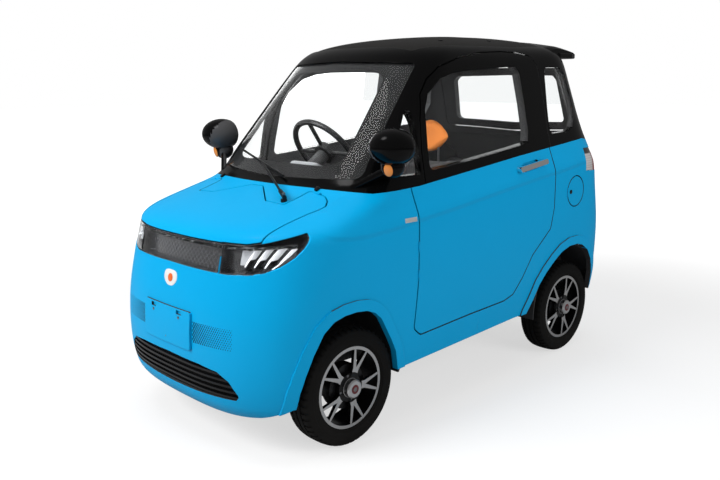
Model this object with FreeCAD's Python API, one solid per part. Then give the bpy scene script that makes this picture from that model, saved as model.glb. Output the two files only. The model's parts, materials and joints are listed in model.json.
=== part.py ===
"""Small electric cabin car, built as separate pieces in one frame.

Millimetres, +Z up, origin on the ground under the middle of the car.
The nose points to -Y and the car's left side to +X.
"""

import FreeCAD
import Part
import functools
import math
import os

from FreeCAD import Vector

# Overall size of the body.
BODY_LENGTH = 2510.0
BODY_WIDTH = 1200.0
BODY_HEIGHT = 1650.0
NOSE_Y = -BODY_LENGTH / 2
HALF_WIDTH = BODY_WIDTH / 2

# Wheels and running gear.
WHEELBASE = 1576.0
TYRE_RADIUS = 241.0
TYRE_WIDTH = 128.0
TYRE_SHOULDER = 22.0
WHEEL_FACE_X = 565.0
RIM_RADIUS = 167.0
RIM_LIP = 6.0
RIM_WIDTH = 116.0
RIM_WALL = 7.0
SPOKE_DISC_DEPTH = 16.0
HUB_BOSS_RADIUS = 52.0
HUB_CAP_RADIUS = 38.0
HUB_CAP_LENGTH = 26.0
HUB_CAP_LIP = 5.0
SPOKE_PAIRS = 5
SPOKE_WIDTH = 10.0
SPOKE_STEM_WIDTH = 32.0
SPOKE_SPREAD_DEG = 12.4
SPOKE_FORK_RADIUS = 78.0
SPOKE_START_DEG = 49.0
LUG_CIRCLE_RADIUS = 50.0
LUG_START_DEG = -12.0
LUG_COUNT = 4
LUG_HOLE_RADIUS = 7.0
HUB_FLANGE_RADIUS = 62.0
HUB_FLANGE_DEPTH = 8.0
DRUM_RADIUS = 92.0
DRUM_DEPTH = 44.0
AXLE_TUBE_RADIUS = 30.0
STUB_RADIUS = 16.0
STUB_LENGTH = 60.0
KINGPIN_X = 428.0
KINGPIN_RADIUS = 13.0
KNUCKLE_HEIGHT = 120.0
KNUCKLE_DEPTH = 34.0
YOKE_THICKNESS = 12.0
FIT_GAP = 0.5
BEARING_GAP = 0.1
MOVE_GAP = 6.0

# Wall thicknesses measured inward from the outer surface.
BODY_WALL = 22.0
CAB_WALL = 34.0
DOOR_WALL = 44.0
HOOD_WALL = 16.0
ROOF_STEP = 4.0
ROOF_WALL = 22.0
GLASS_STEP = 5.0
GLASS_WALL = 5.0
GLASS_DEPTHS = (GLASS_STEP, GLASS_STEP + GLASS_WALL)
LAMP_STEP = 2.0
LENS_WALL = 3.0
LAMP_DEPTH = 42.0
BUCKET_WALL = 3.0
TAIL_LAMP_WALL = 40.0
PLATE_STEP = 9.0
FLARE_STEP = 7.0
FLARE_WIDTH = 45.0
SHUT_GAP = 5.6

# Rows of the outer surface from the lowest to the roof. Each row holds shares:
# nose reach, nose height, half width, side height in front, side height behind,
# tail reach, tail height, front corner length, rear corner length, and last how
# square the front corner is.
ROW_SHARES = (
    (.8685, .0606, .9267, .0606, .0606, .8446, .0606, .7167, .5500, 3.1),
    (.9681, .1000, .9500, .1000, .1030, .9163, .1030, .7167, .5500, 3.1),
    (.9904, .1455, .9717, .1455, .1455, .9562, .1455, .7417, .5500, 3.1),
    (.9992, .2000, .9867, .2000, .2000, .9817, .2000, .7500, .5500, 3.1),
    (1.0016, .2727, .9967, .2727, .2727, .9960, .2727, .7500, .5500, 3.0),
    (.9952, .3455, 1.0000, .3455, .3515, 1.0008, .3455, .7500, .5500, 2.9),
    (.9801, .4061, 1.0000, .4091, .4242, .9992, .4000, .7500, .5500, 2.8),
    (.9697, .4515, 1.0000, .4576, .4970, .9817, .4424, .7500, .5500, 2.7),
    (.9618, .4848, .9983, .4921, .5636, .9657, .5030, .7500, .5500, 2.6),
    (.9530, .5103, .9967, .5152, .6109, .9586, .5636, .7417, .5500, 2.6),
    (.9386, .5261, .9833, .5309, .6267, .9530, .5848, .7333, .5500, 2.6),
    (.8924, .5424, .9683, .5467, .6412, .9450, .6061, .7167, .5333, 2.6),
    (.7968, .5636, .9550, .5642, .6533, .9355, .6242, .6500, .5333, 2.6),
    (.6932, .5855, .9417, .5824, .6679, .9259, .6436, .5667, .5167, 2.6),
    (.5912, .6085, .9267, .6012, .6824, .9147, .6636, .4917, .5000, 2.6),
    (.5378, .6576, .8983, .6576, .7091, .9004, .6970, .4167, .4833, 2.6),
    (.4582, .7273, .8617, .7273, .7576, .8797, .7485, .4083, .4667, 2.6),
    (.3745, .8012, .8267, .8000, .8133, .8590, .8091, .3917, .4583, 2.6),
    (.3012, .8679, .7933, .8636, .8679, .8382, .8667, .3917, .4500, 2.6),
    (.2534, .9103, .7667, .9055, .9115, .8223, .9103, .3917, .4417, 2.6),
    (.2199, .9364, .7400, .9309, .9394, .8080, .9382, .3917, .4333, 2.6),
    (.1689, .9576, .6867, .9533, .9600, .7809, .9588, .3750, .4167, 2.6),
    (.0797, .9752, .5833, .9715, .9764, .7171, .9752, .3583, .4000, 2.6),
    (-.0478, .9885, .4367, .9855, .9891, .6295, .9873, .3167, .3667, 2.6),
    (-.2072, .9970, .2500, .9964, .9970, .5259, .9964, .2333, .2500, 2.6),
    (-.3187, .9988, .1000, .9988, .9988, .4462, .9988, .1000, .1000, 2.6),
)
ROW_NOSE, ROW_NOSE_Z, ROW_HALF, ROW_SIDE_Z, ROW_SIDE_REAR_Z = range(5)
ROW_TAIL, ROW_TAIL_Z, ROW_FRONT_CORNER, ROW_REAR_CORNER, ROW_FRONT_POWER = range(5, 10)
REAR_CORNER_POWER = 3.0
CORNER_STEPS = 9
SIDE_STEPS = 7

# Outlines in side view: share of the length from the nose, share of the height.
BELT_SHARES = (
    (-0.0179, 0.6182), (0.1733, 0.6097), (0.2052, 0.6085), (0.253, 0.6), (0.3482, 0.6067),
    (0.4813, 0.6273), (0.6347, 0.6515), (0.7753, 0.6709), (0.8641, 0.6836), (0.9382, 0.6697),
    (1.0179, 0.6545))
BOTTOM_SHARES = (
    (-0.0179, 0.0939), (0.0219, 0.0958), (0.0498, 0.1103), (0.0777, 0.1345), (0.1813, 0.1515),
    (0.2888, 0.1552), (0.6195, 0.177), (0.8307, 0.1758), (0.9303, 0.1818), (1.0179, 0.2))
FRONT_ARCH_SHARES = (
    (0.0785, 0.0485), (0.0809, 0.1248), (0.0841, 0.1727), (0.0912, 0.2121), (0.1032, 0.2594),
    (0.1207, 0.3067), (0.1394, 0.3297), (0.1614, 0.3382), (0.1853, 0.3394), (0.2072, 0.3352),
    (0.2251, 0.3242), (0.239, 0.3061), (0.251, 0.2758), (0.2641, 0.2424), (0.2757, 0.2091),
    (0.2841, 0.1558), (0.2849, 0.0485))
REAR_ARCH_SHARES = (
    (0.6534, 0.0485), (0.6562, 0.1758), (0.6753, 0.2133), (0.6952, 0.2576), (0.7183, 0.2897),
    (0.7454, 0.3182), (0.7729, 0.3412), (0.8024, 0.3527), (0.8327, 0.3533), (0.8522, 0.3461),
    (0.8761, 0.3248), (0.8948, 0.2873), (0.9056, 0.2442), (0.9084, 0.1818), (0.9104, 0.0485))
DOOR_LOWER_SHARES = (
    (0.3279, 0.6667), (0.3319, 0.5152), (0.3311, 0.3758), (0.3223, 0.2497), (0.3386, 0.2291),
    (0.4721, 0.2388), (0.5777, 0.2436), (0.6068, 0.2545), (0.6355, 0.297), (0.6673, 0.3576),
    (0.7032, 0.397), (0.7279, 0.4242), (0.7382, 0.4848), (0.739, 0.5848), (0.7351, 0.7273))
DOOR_UPPER_SHARES = (
    (0.3653, 0.5455), (0.3669, 0.6927), (0.3741, 0.7667), (0.3884, 0.8285), (0.4108, 0.8679),
    (0.4418, 0.8988), (0.5032, 0.9242), (0.5685, 0.9382), (0.6331, 0.943), (0.6873, 0.9418),
    (0.7231, 0.9333), (0.739, 0.9091), (0.7438, 0.8648), (0.7454, 0.7758), (0.743, 0.6727),
    (0.7414, 0.5455))
DOOR_GLASS_SHARES = (
    (0.3805, 0.64), (0.3821, 0.6921), (0.3884, 0.7915), (0.402, 0.8303), (0.4378, 0.8691),
    (0.4721, 0.883), (0.5239, 0.8909), (0.6163, 0.8994), (0.6653, 0.903), (0.6761, 0.8861),
    (0.6793, 0.7939), (0.6785, 0.7212), (0.6705, 0.6848), (0.6104, 0.6739), (0.5175, 0.6588),
    (0.4327, 0.6461))
FRONT_QUARTER_SHARES = (
    (0.2849, 0.6352), (0.3582, 0.6352), (0.3614, 0.8091))
REAR_QUARTER_SHARES = (
    (0.7653, 0.9018), (0.8267, 0.903), (0.8434, 0.88), (0.853, 0.8182), (0.8578, 0.7788),
    (0.8498, 0.7442), (0.8378, 0.72), (0.8175, 0.7085), (0.759, 0.7055), (0.7526, 0.7164),
    (0.757, 0.7903))
HANDLE_SHARES = (
    (0.6155, 0.6079), (0.708, 0.6236), (0.7096, 0.6376), (0.6171, 0.6224))
HANDLE_RECESS_SHARES = (
    (0.6347, 0.6036), (0.6904, 0.6133), (0.692, 0.6376), (0.6363, 0.6279))

# Outlines in front view: share of the half width, share of the height.
WINDSCREEN_SHARES = (
    (-0.7633, 0.6315), (0, 0.6218), (0.7633, 0.6315), (0.6633, 0.9091), (0, 0.9164),
    (-0.6633, 0.9091))
LIGHT_BAR_SHARES = (
    (-0.4683, 0.5067), (0.4683, 0.5067), (0.4683, 0.4418), (0, 0.4436), (-0.4683, 0.4418))
HEADLAMP_SHARES = (
    (-0.0299, 0.5067), (0.0498, 0.5079), (0.0797, 0.5218), (0.0984, 0.5291), (0.1167, 0.5358),
    (0.1151, 0.5248), (0.1104, 0.5139), (0.1032, 0.5006), (0.092, 0.4836), (0.0745, 0.4648),
    (0.0586, 0.4521), (0.0454, 0.4448), (0.0295, 0.4412), (-0.0299, 0.4406))
GRILLE_SHARES = (
    (-0.5, 0.2158), (-0.3333, 0.2224), (0, 0.2248), (0.3333, 0.2224), (0.5, 0.2158),
    (0.5867, 0.1976), (0.6467, 0.1636), (0.62, 0.1521), (0.5, 0.1509), (0.2, 0.1467),
    (0, 0.1455), (-0.2, 0.1467), (-0.5, 0.1509), (-0.62, 0.1521), (-0.6467, 0.1636),
    (-0.5867, 0.1976))
PLATE_SHARES = (
    (-0.275, 0.3412), (0.275, 0.3412), (0.275, 0.2497), (-0.275, 0.2497))
HATCH_SHARES = (
    (-0.7167, 0.703), (0, 0.6909), (0.7167, 0.703), (0.675, 0.8727), (0.6167, 0.903),
    (0, 0.9067), (-0.6167, 0.903), (-0.675, 0.8727))
HATCH_GLASS_SHARES = (
    (-0.62, 0.7273), (0, 0.7188), (0.62, 0.7273), (0.5833, 0.8636), (0.5417, 0.8788),
    (0, 0.8818), (-0.5417, 0.8788), (-0.5833, 0.8636))
TAIL_LAMP_SHARES = (
    (0.7167, 0.5636), (1, 0.5818), (1, 0.6545), (0.8667, 0.6515), (0.7333, 0.6061))

# Outlines from above: share of the half width, share of the length.
HOOD_SHARES = (
    (0, 0.1853), (0.0633, 0.1853), (0.31, 0.1442), (0.4967, 0.1454), (0.5033, 0.1984),
    (0.575, 0.1996), (0.6533, 0.1984), (0.7083, 0.1908), (0.75, 0.1781), (0.7483, 0.1633),
    (0.735, 0.1454), (0.7217, 0.1088), (0.7067, 0.0578), (0.7067, -0.0339), (-0.7067, -0.0339),
    (-0.7067, 0.0578), (-0.7217, 0.1088), (-0.735, 0.1454), (-0.7483, 0.1633), (-0.75, 0.1781),
    (-0.7083, 0.1908), (-0.6533, 0.1984), (-0.575, 0.1996))
ROOF_SHARES = (
    (-0.6533, 0.4761), (-0.5667, 0.4243), (0, 0.4116), (0.5667, 0.4243), (0.6533, 0.4761),
    (0.6667, 0.6992), (0.6333, 0.8386), (0.5, 0.8606), (0, 0.8685), (-0.5, 0.8606),
    (-0.6333, 0.8386), (-0.6667, 0.6992))
ROOF_LIP_SHARES = (
    (-0.7067, 0.8426), (-0.7067, 0.8984), (-0.6733, 0.9239), (-0.55, 0.9343), (0, 0.9382),
    (0.55, 0.9343), (0.6733, 0.9239), (0.7067, 0.8984), (0.7067, 0.8426))

# Hinges, roundings and helper planes.
HINGE_PIN_RADIUS = 2.0
HINGE_RADIUS = 4.6
HINGE_BARREL = 26.0
HINGE_COLLAR = 9.0
HOOD_HINGE_X = 340.0
HOOD_HINGE_Y = -754.0
DOOR_HINGE_Y = -427.0
DOOR_HINGE_ZS = (760.0, 640.0)
HATCH_HINGE_X = 190.0
HATCH_HINGE_Z = 1496.0
HATCH_CHANNEL_RADIUS = 13.0
CORNER_ROUND = 26.0
SMALL_ROUND = 12.0
ARCH_ROUND = 40.0
LAMP_ROUND = 7.0
LAMP_TIP_ROUND = 5.0
OUTSIDE = 900.0
MIRROR_X = 70.0
SMALLEST_PIECE = 500.0
NOSE_FACE_Y = -900.0
TAIL_FACE_Y = 900.0
HOOD_CUT_Z = 790.0
ROOF_CUT_Z = 1450.0
LARGEST_ROUND_SHARE = 0.48
SHORTEST_EDGE = 0.01

# Lamps, plate panel, door handles and roof lip.
LAMP_SPLIT_X = 281.0
LAMP_SPLIT = 4.0
FIN_COUNT = 4
FIN_FIRST_X = 369.0
FIN_STEP = 34.0
FIN_WIDTH = 8.0
FIN_LEAN = 30.0
FIN_LOW_Z = 745.0
FIN_HIGH_Z = 835.0
FIN_SETBACK = 12.0
NOTCH_X = 92.0
NOTCH_WIDTH = 34.0
NOTCH_TOP_Z = 556.0
NOTCH_HEIGHT = 15.0
HANDLE_OUT = 26.0
HANDLE_THICK = 11.0
HANDLE_FOOT = 30.0
HANDLE_RECESS = 14.0
ROOF_LIP_LOW_Z = 1538.0
ROOF_LIP_HIGH_Z = 1566.0
ROOF_LIP_ROUND = 8.0

# Inside, lamps and small fittings, each measured on the car.
AXLE_Y = WHEELBASE / 2
AXLE_Z = TYRE_RADIUS
TUB_SHEET = 8.0
FLOOR_Z = 335.0
FRONT_WELL_RADIUS = 300.0
REAR_WELL_RADIUS = 285.0
WELL_CENTRE_Z = 300.0
WELL_BOTTOM_Z = 225.0
FRONT_WELL_X = 296.0
REAR_WELL_X = 402.0
TRAY_Z = 622.0
FRONT_WALL_Y = -1100.0
FIREWALL_Y = -748.0
FIREWALL_TOP = 940.0
FIREWALL_HALF = 420.0
REAR_WALL_Y = 1120.0
AXLE_SLOT = 60.0
DECK_Z = 700.0
DECK_FRONT_Y = 985.0
RAIL_X = 235.0
RAIL_SIZE = 46.0
RAIL_FRONT_Y = -1060.0
RAIL_REAR_Y = 1080.0
CROSS_SIZE = 40.0
CROSS_PLACES = (-1040.0, -520.0, 170.0, 560.0, 1040.0)
SPRING_X = 330.0
SPRING_WIDTH = 45.0
SPRING_HALF_LENGTH = 260.0
SPRING_THICKNESS = 10.0
BEAM_RADIUS = 24.0
BEAM_Z = 215.0
MOTOR_RADIUS = 90.0
MOTOR_LENGTH = 230.0
GEARBOX_RADIUS = 78.0
GEARBOX_LENGTH = 110.0
BATTERY_SIZE = (400.0, 560.0, 110.0)
BATTERY_Y = -150.0
SEAT_WIDTH = 440.0
SEAT_FRONT_Y = -60.0
SEAT_REAR_Y = 400.0
SEAT_TOP_Z = 640.0
SEAT_ROUND = 45.0
SEAT_BACK_THICK = 110.0
SEAT_BACK_TOP = 1050.0
HEADREST_WIDTH = 250.0
HEADREST_THICK = 90.0
HEADREST_TOP = 1235.0
BENCH_WIDTH = 740.0
BENCH_FRONT_Y = 600.0
BENCH_REAR_Y = 980.0
BENCH_TOP_Z = 660.0
BENCH_BACK_TOP = 1000.0
DASH_FRONT_Y = -740.0
DASH_REAR_Y = -500.0
DASH_BOTTOM_Z = 800.0
DASH_TOP_Z = 985.0
DASH_HALF = 470.0
WHEEL_RING_RADIUS = 172.0
WHEEL_GRIP_RADIUS = 13.0
STEER_CENTRE = (0.0, -395.0, 1105.0)
STEER_TILT_DEG = 55.0
STEER_HUB_RADIUS = 48.0
STEER_HUB_DEPTH = 36.0
COLUMN_RADIUS = 30.0
COLUMN_LENGTH = 190.0
MIRROR_CENTRE = (583.0, -552.0, 1172.0)
MIRROR_HALF_SIZE = (86.0, 56.0, 68.0)
MIRROR_GLASS_SHARE = 0.88
MIRROR_GLASS_DEPTH = 5.0
MIRROR_BOWL_CENTRE = (570.0, -556.0, 1096.0)
MIRROR_BOWL_SIZE = (50.0, 44.0, 46.0)
MIRROR_BACK_Y = -522.0
STALK_FOOT = (436.0, -655.0, 1006.0)
STALK_RADIUS = 13.0
WIPER_PIVOT = (270.0, -864.0, 971.0)
WIPER_ELBOW = (-91.0, -690.0, 1078.0)
WIPER_TIP_A = (-314.0, -637.0, 1120.0)
WIPER_TIP_B = (114.0, -737.0, 1038.0)
WIPER_CAP_LENGTH = 58.0
WIPER_CAP_RADIUS = 9.0
WIPER_ARM_RADIUS = 5.0
WIPER_BOSS_RADIUS = 13.0
FLAP_Y = 800.0
FLAP_Z = 865.0
FLAP_RADIUS = 76.0
FLAP_WALL = 13.0
FLAP_POCKET = 17.0
SLAT_COUNT = 5
SLAT_HEIGHT = 9.0
GRILLE_FACE = 3.0
GRILLE_BACK = 14.0
GRILLE_LOW_Z = 238.0
GRILLE_HIGH_Z = 371.0
STEER_ARM_SHARE = 0.7


def vec(x, y, z):
    """Return a point."""
    return Vector(x, y, z)


def row_points(row):
    """Return the closed ring of points of one row of the outer surface."""
    nose = -row[ROW_NOSE] * BODY_LENGTH / 2
    tail = row[ROW_TAIL] * BODY_LENGTH / 2
    half = row[ROW_HALF] * HALF_WIDTH
    front_len = row[ROW_FRONT_CORNER] * HALF_WIDTH
    rear_len = row[ROW_REAR_CORNER] * HALF_WIDTH
    nose_z, side_z = row[ROW_NOSE_Z] * BODY_HEIGHT, row[ROW_SIDE_Z] * BODY_HEIGHT
    rear_z, tail_z = row[ROW_SIDE_REAR_Z] * BODY_HEIGHT, row[ROW_TAIL_Z] * BODY_HEIGHT
    start, stop = nose + front_len, tail - rear_len
    points = []
    for step in range(CORNER_STEPS):
        turn = math.pi / 2 * step / CORNER_STEPS
        reach = corner_reach(turn, row[ROW_FRONT_POWER])
        blend = math.sin(turn) ** 2
        points.append(vec(half * reach * math.sin(turn), start - front_len * reach * math.cos(turn),
                          nose_z + (side_z - nose_z) * blend))
    for step in range(SIDE_STEPS):
        along = step / SIDE_STEPS
        points.append(vec(half, start + (stop - start) * along, side_z + (rear_z - side_z) * along))
    for step in range(CORNER_STEPS + 1):
        turn = math.pi / 2 * step / CORNER_STEPS
        reach = corner_reach(turn, REAR_CORNER_POWER)
        blend = math.sin(turn) ** 2
        points.append(vec(half * reach * math.cos(turn), stop + rear_len * reach * math.sin(turn),
                          rear_z + (tail_z - rear_z) * blend))
    other = [vec(-p.x, p.y, p.z) for p in points[-2:0:-1]]
    return points[-1:] + other + points[:-1]


def corner_reach(turn, power):
    """Return how far a rounded-square corner reaches at an angle."""
    return (math.sin(turn) ** power + math.cos(turn) ** power) ** (-1 / power)


@functools.lru_cache(maxsize=None)
def skin(inset):
    """Return the closed solid inside the outer surface, moved inward by inset."""
    rings = [row_points(row) for row in ROW_SHARES]
    count, last = len(rings[0]), len(rings) - 1
    moved = []
    for k, ring in enumerate(rings):
        above, below = rings[min(k + 1, last)], rings[max(k - 1, 0)]
        new = []
        for i, point in enumerate(ring):
            around = ring[(i + 1) % count] - ring[i - 1]
            normal = around.cross(above[i] - below[i])
            if k == 0:
                normal.z = 0
            if k == last:
                normal = vec(0, 0, 1)
            normal.normalize()
            new.append(point - normal * inset)
        moved.append(new)
    poles = [list(column) for column in zip(*moved)]
    surface = Part.BSplineSurface()
    spans = len(moved) - 3
    surface.buildFromPolesMultsKnots(
        poles, [1] * (count + 1), [4] + [1] * (spans - 1) + [4],
        list(range(count + 1)), list(range(spans + 1)), True, False, 3, 3)
    side = surface.toShape()
    lids = []
    for edge in side.Edges:
        if edge.isClosed() and edge.BoundBox.ZLength < FIT_GAP:
            lids.append(Part.Face(Part.Wire([edge])))
    shell = Part.makeShell([side] + lids)
    shell.sewShape()
    solid = Part.makeSolid(shell)
    if solid.Volume < 0:
        solid.reverse()
    return solid


def layer(region, outside, inside):
    """Return the part of a region between two depths under the outer surface."""
    return region.common(skin(outside)).cut(skin(inside))


def rounded_wire(points, radius):
    """Return a closed wire through points with its corners rounded."""
    edges, arcs = [], []
    count = len(points)
    for i, corner in enumerate(points):
        back = points[i - 1] - corner
        ahead = points[(i + 1) % count] - corner
        open_angle = back.getAngle(ahead)
        reach = min(radius / math.tan(open_angle / 2), back.Length * LARGEST_ROUND_SHARE,
                    ahead.Length * LARGEST_ROUND_SHARE)
        first = corner + back.normalize() * reach
        second = corner + ahead.normalize() * reach
        middle_way = (back + ahead).normalize()
        true_radius = reach * math.tan(open_angle / 2)
        centre = corner + middle_way * (true_radius / math.sin(open_angle / 2))
        arcs.append((first, centre - middle_way * true_radius, second))
    for i, (first, middle, second) in enumerate(arcs):
        edges.append(Part.Arc(first, middle, second).toShape())
        start = arcs[(i + 1) % count][0]
        if (start - second).Length > SHORTEST_EDGE:
            edges.append(Part.LineSegment(second, start).toShape())
    return Part.Wire(edges)


def side_points(shares, x=0.0):
    """Return points of a side-view outline."""
    return [vec(x, NOSE_Y + along * BODY_LENGTH, up * BODY_HEIGHT) for along, up in shares]


def offset_face(wire, grow):
    """Return the flat face inside a wire grown outward by grow."""
    if grow:
        wire = wire.makeOffset2D(grow)
    return Part.Face(wire)


def side_prism(shares, radius=CORNER_ROUND, grow=0.0, start=MIRROR_X, stop=OUTSIDE):
    """Return a side-view outline pushed through the left side."""
    wire = rounded_wire(side_points(shares, start), radius)
    return offset_face(wire, grow).extrude(vec(stop - start, 0, 0))


def front_prism(shares, radius=CORNER_ROUND, grow=0.0, start=-BODY_LENGTH, stop=0.0):
    """Return a front-view outline pushed along the car."""
    points = [vec(across * HALF_WIDTH, start, up * BODY_HEIGHT) for across, up in shares]
    return offset_face(rounded_wire(points, radius), grow).extrude(vec(0, stop - start, 0))


def plan_prism(shares, radius=CORNER_ROUND, grow=0.0, start=0.0, stop=2 * BODY_HEIGHT):
    """Return an outline from above pushed upward."""
    points = [vec(across * HALF_WIDTH, NOSE_Y + along * BODY_LENGTH, start)
              for across, along in shares]
    return offset_face(rounded_wire(points, radius), grow).extrude(vec(0, 0, stop - start))


def band(shares, top):
    """Return everything above (or below) a side-view line across the whole car."""
    line = side_points(shares, -OUTSIDE)
    far = BODY_HEIGHT * 2 if top else -BODY_HEIGHT
    corners = [vec(-OUTSIDE, line[-1].y, far), vec(-OUTSIDE, line[0].y, far)]
    wire = Part.makePolygon(line + corners + [line[0]])
    return Part.Face(wire).extrude(vec(2 * OUTSIDE, 0, 0))


def slab(x0, x1, y0, y1, z0, z1):
    """Return a block between two corners."""
    return Part.makeBox(x1 - x0, y1 - y0, z1 - z0, vec(x0, y0, z0))


def mirrored(shape):
    """Return the same shape on the other side of the car."""
    return shape.mirror(vec(0, 0, 0), vec(1, 0, 0))


def carved(shape, tools):
    """Return a shape after cutting each tool from it in turn."""
    for tool in tools:
        shape = shape.cut(tool)
    return shape


def with_mirrors(shapes):
    """Return shapes followed by their mirror images."""
    return shapes + [mirrored(s) for s in shapes]


def both(shape):
    """Return a shape together with its mirror image."""
    return Part.makeCompound([shape, mirrored(shape)])


def rod(start, stop, radius):
    """Return a round rod between two points."""
    return Part.makeCylinder(radius, (stop - start).Length, start, stop - start)


def joined(shapes):
    """Return one solid made of touching shapes."""
    first = shapes[0]
    if len(shapes) > 1:
        first = first.fuse(shapes[1:])
    return first.removeSplitter()


def wheel_frame(shape, side, y):
    """Return a wheel piece moved to its axle end; side is 1 left or -1 right."""
    if side < 0:
        shape = mirrored(shape)
    moved = shape.copy()
    moved.translate(vec(side * WHEEL_FACE_X, y, AXLE_Z))
    return moved


def turned(profile):
    """Return a profile of (along X, radius) points turned about the wheel axis."""
    points = [vec(x, 0, r) for x, r in profile]
    face = Part.Face(Part.makePolygon(points + points[:1]))
    return face.revolve(vec(0, 0, 0), vec(1, 0, 0), 360)


def make_tyre():
    """Return the tyre with its outer wall near X = 0."""
    seat = RIM_RADIUS - RIM_LIP
    outer, inner = TYRE_SHOULDER / 2, TYRE_SHOULDER / 2 - TYRE_WIDTH
    lip_out, lip_in = -RIM_LIP, RIM_LIP - RIM_WIDTH
    shoulder = TYRE_RADIUS - TYRE_SHOULDER
    profile = [(lip_out, seat), (lip_out, RIM_RADIUS), (outer, (RIM_RADIUS + shoulder) / 2),
               (outer - RIM_LIP, shoulder), (outer - TYRE_SHOULDER, TYRE_RADIUS),
               (inner + TYRE_SHOULDER, TYRE_RADIUS), (inner + RIM_LIP, shoulder),
               (inner, (RIM_RADIUS + shoulder) / 2), (lip_in, RIM_RADIUS), (lip_in, seat)]
    return turned(profile)


def make_rim():
    """Return the rim with spokes, hub and brake drum, outer face at X = 0."""
    seat = RIM_RADIUS - RIM_LIP
    inside = seat - RIM_WALL
    profile = [(0, inside), (0, RIM_RADIUS), (-RIM_LIP, RIM_RADIUS), (-RIM_LIP, seat),
               (RIM_LIP - RIM_WIDTH, seat), (RIM_LIP - RIM_WIDTH, RIM_RADIUS),
               (-RIM_WIDTH, RIM_RADIUS), (-RIM_WIDTH, inside)]
    pieces = [turned(profile)]
    arm = spoke_pair()
    for number in range(SPOKE_PAIRS):
        copy = arm.copy()
        copy.rotate(vec(0, 0, 0), vec(1, 0, 0), SPOKE_START_DEG + 360 * number / SPOKE_PAIRS)
        pieces.append(copy)
    hub_back = -SPOKE_DISC_DEPTH - HUB_FLANGE_DEPTH
    drum_back = hub_back - DRUM_DEPTH
    hub = [(HUB_CAP_LENGTH, 0), (HUB_CAP_LENGTH, HUB_CAP_RADIUS - HUB_CAP_LIP),
           (HUB_CAP_LENGTH - HUB_CAP_LIP, HUB_CAP_RADIUS), (0, HUB_CAP_RADIUS),
           (-HUB_CAP_LIP, HUB_BOSS_RADIUS + RIM_LIP), (-SPOKE_DISC_DEPTH, HUB_FLANGE_RADIUS),
           (hub_back, HUB_FLANGE_RADIUS), (hub_back, DRUM_RADIUS), (drum_back, DRUM_RADIUS),
           (drum_back, STUB_RADIUS + BEARING_GAP),
           (drum_back + STUB_LENGTH, STUB_RADIUS + BEARING_GAP),
           (drum_back + STUB_LENGTH, 0)]
    pieces.append(turned(hub))
    rim = joined(pieces)
    holes = []
    for number in range(LUG_COUNT):
        turn = math.radians(LUG_START_DEG) + 2 * math.pi * number / LUG_COUNT
        y, z = LUG_CIRCLE_RADIUS * math.sin(turn), LUG_CIRCLE_RADIUS * math.cos(turn)
        holes.append(rod(vec(hub_back, y, z), vec(HUB_CAP_LENGTH, y, z), LUG_HOLE_RADIUS))
    return rim.cut(holes)


def spoke_pair():
    """Return one forked spoke standing upward from the hub."""
    spread = math.radians(SPOKE_SPREAD_DEG)
    root, half, stem = HUB_CAP_RADIUS, SPOKE_WIDTH / 2, SPOKE_STEM_WIDTH / 2
    reach = RIM_RADIUS - RIM_LIP - RIM_WALL + FIT_GAP
    tip_y, tip_z = reach * math.sin(spread), reach * math.cos(spread)
    side = [(-stem, root), (-stem, SPOKE_FORK_RADIUS), (-tip_y - half, tip_z),
            (-tip_y + half, tip_z), (0, SPOKE_FORK_RADIUS + half)]
    outline = side + [(-y, z) for y, z in side[-2::-1]]
    points = [vec(-SPOKE_DISC_DEPTH, y, z) for y, z in outline]
    face = Part.Face(Part.makePolygon(points + points[:1]))
    return face.extrude(vec(SPOKE_DISC_DEPTH - FIT_GAP, 0, 0))


def make_knuckle():
    """Return the left knuckle with its stub, standing on the kingpin line."""
    back = WHEEL_FACE_X - SPOKE_DISC_DEPTH - HUB_FLANGE_DEPTH - DRUM_DEPTH
    upright = slab(KINGPIN_X - KNUCKLE_DEPTH / 2, back - MOVE_GAP, -KNUCKLE_DEPTH, KNUCKLE_DEPTH,
                   AXLE_Z - KNUCKLE_HEIGHT / 2, AXLE_Z + KNUCKLE_HEIGHT / 2)
    stub = rod(vec(KINGPIN_X, 0, AXLE_Z), vec(back + STUB_LENGTH - MOVE_GAP, 0, AXLE_Z), STUB_RADIUS)
    knuckle = joined([upright, stub])
    low, high = AXLE_Z - KNUCKLE_HEIGHT, AXLE_Z + KNUCKLE_HEIGHT
    bore = rod(vec(KINGPIN_X, 0, low), vec(KINGPIN_X, 0, high), KINGPIN_RADIUS + BEARING_GAP)
    knuckle = knuckle.cut(bore)
    knuckle.translate(vec(0, -AXLE_Y, 0))
    return knuckle


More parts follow.
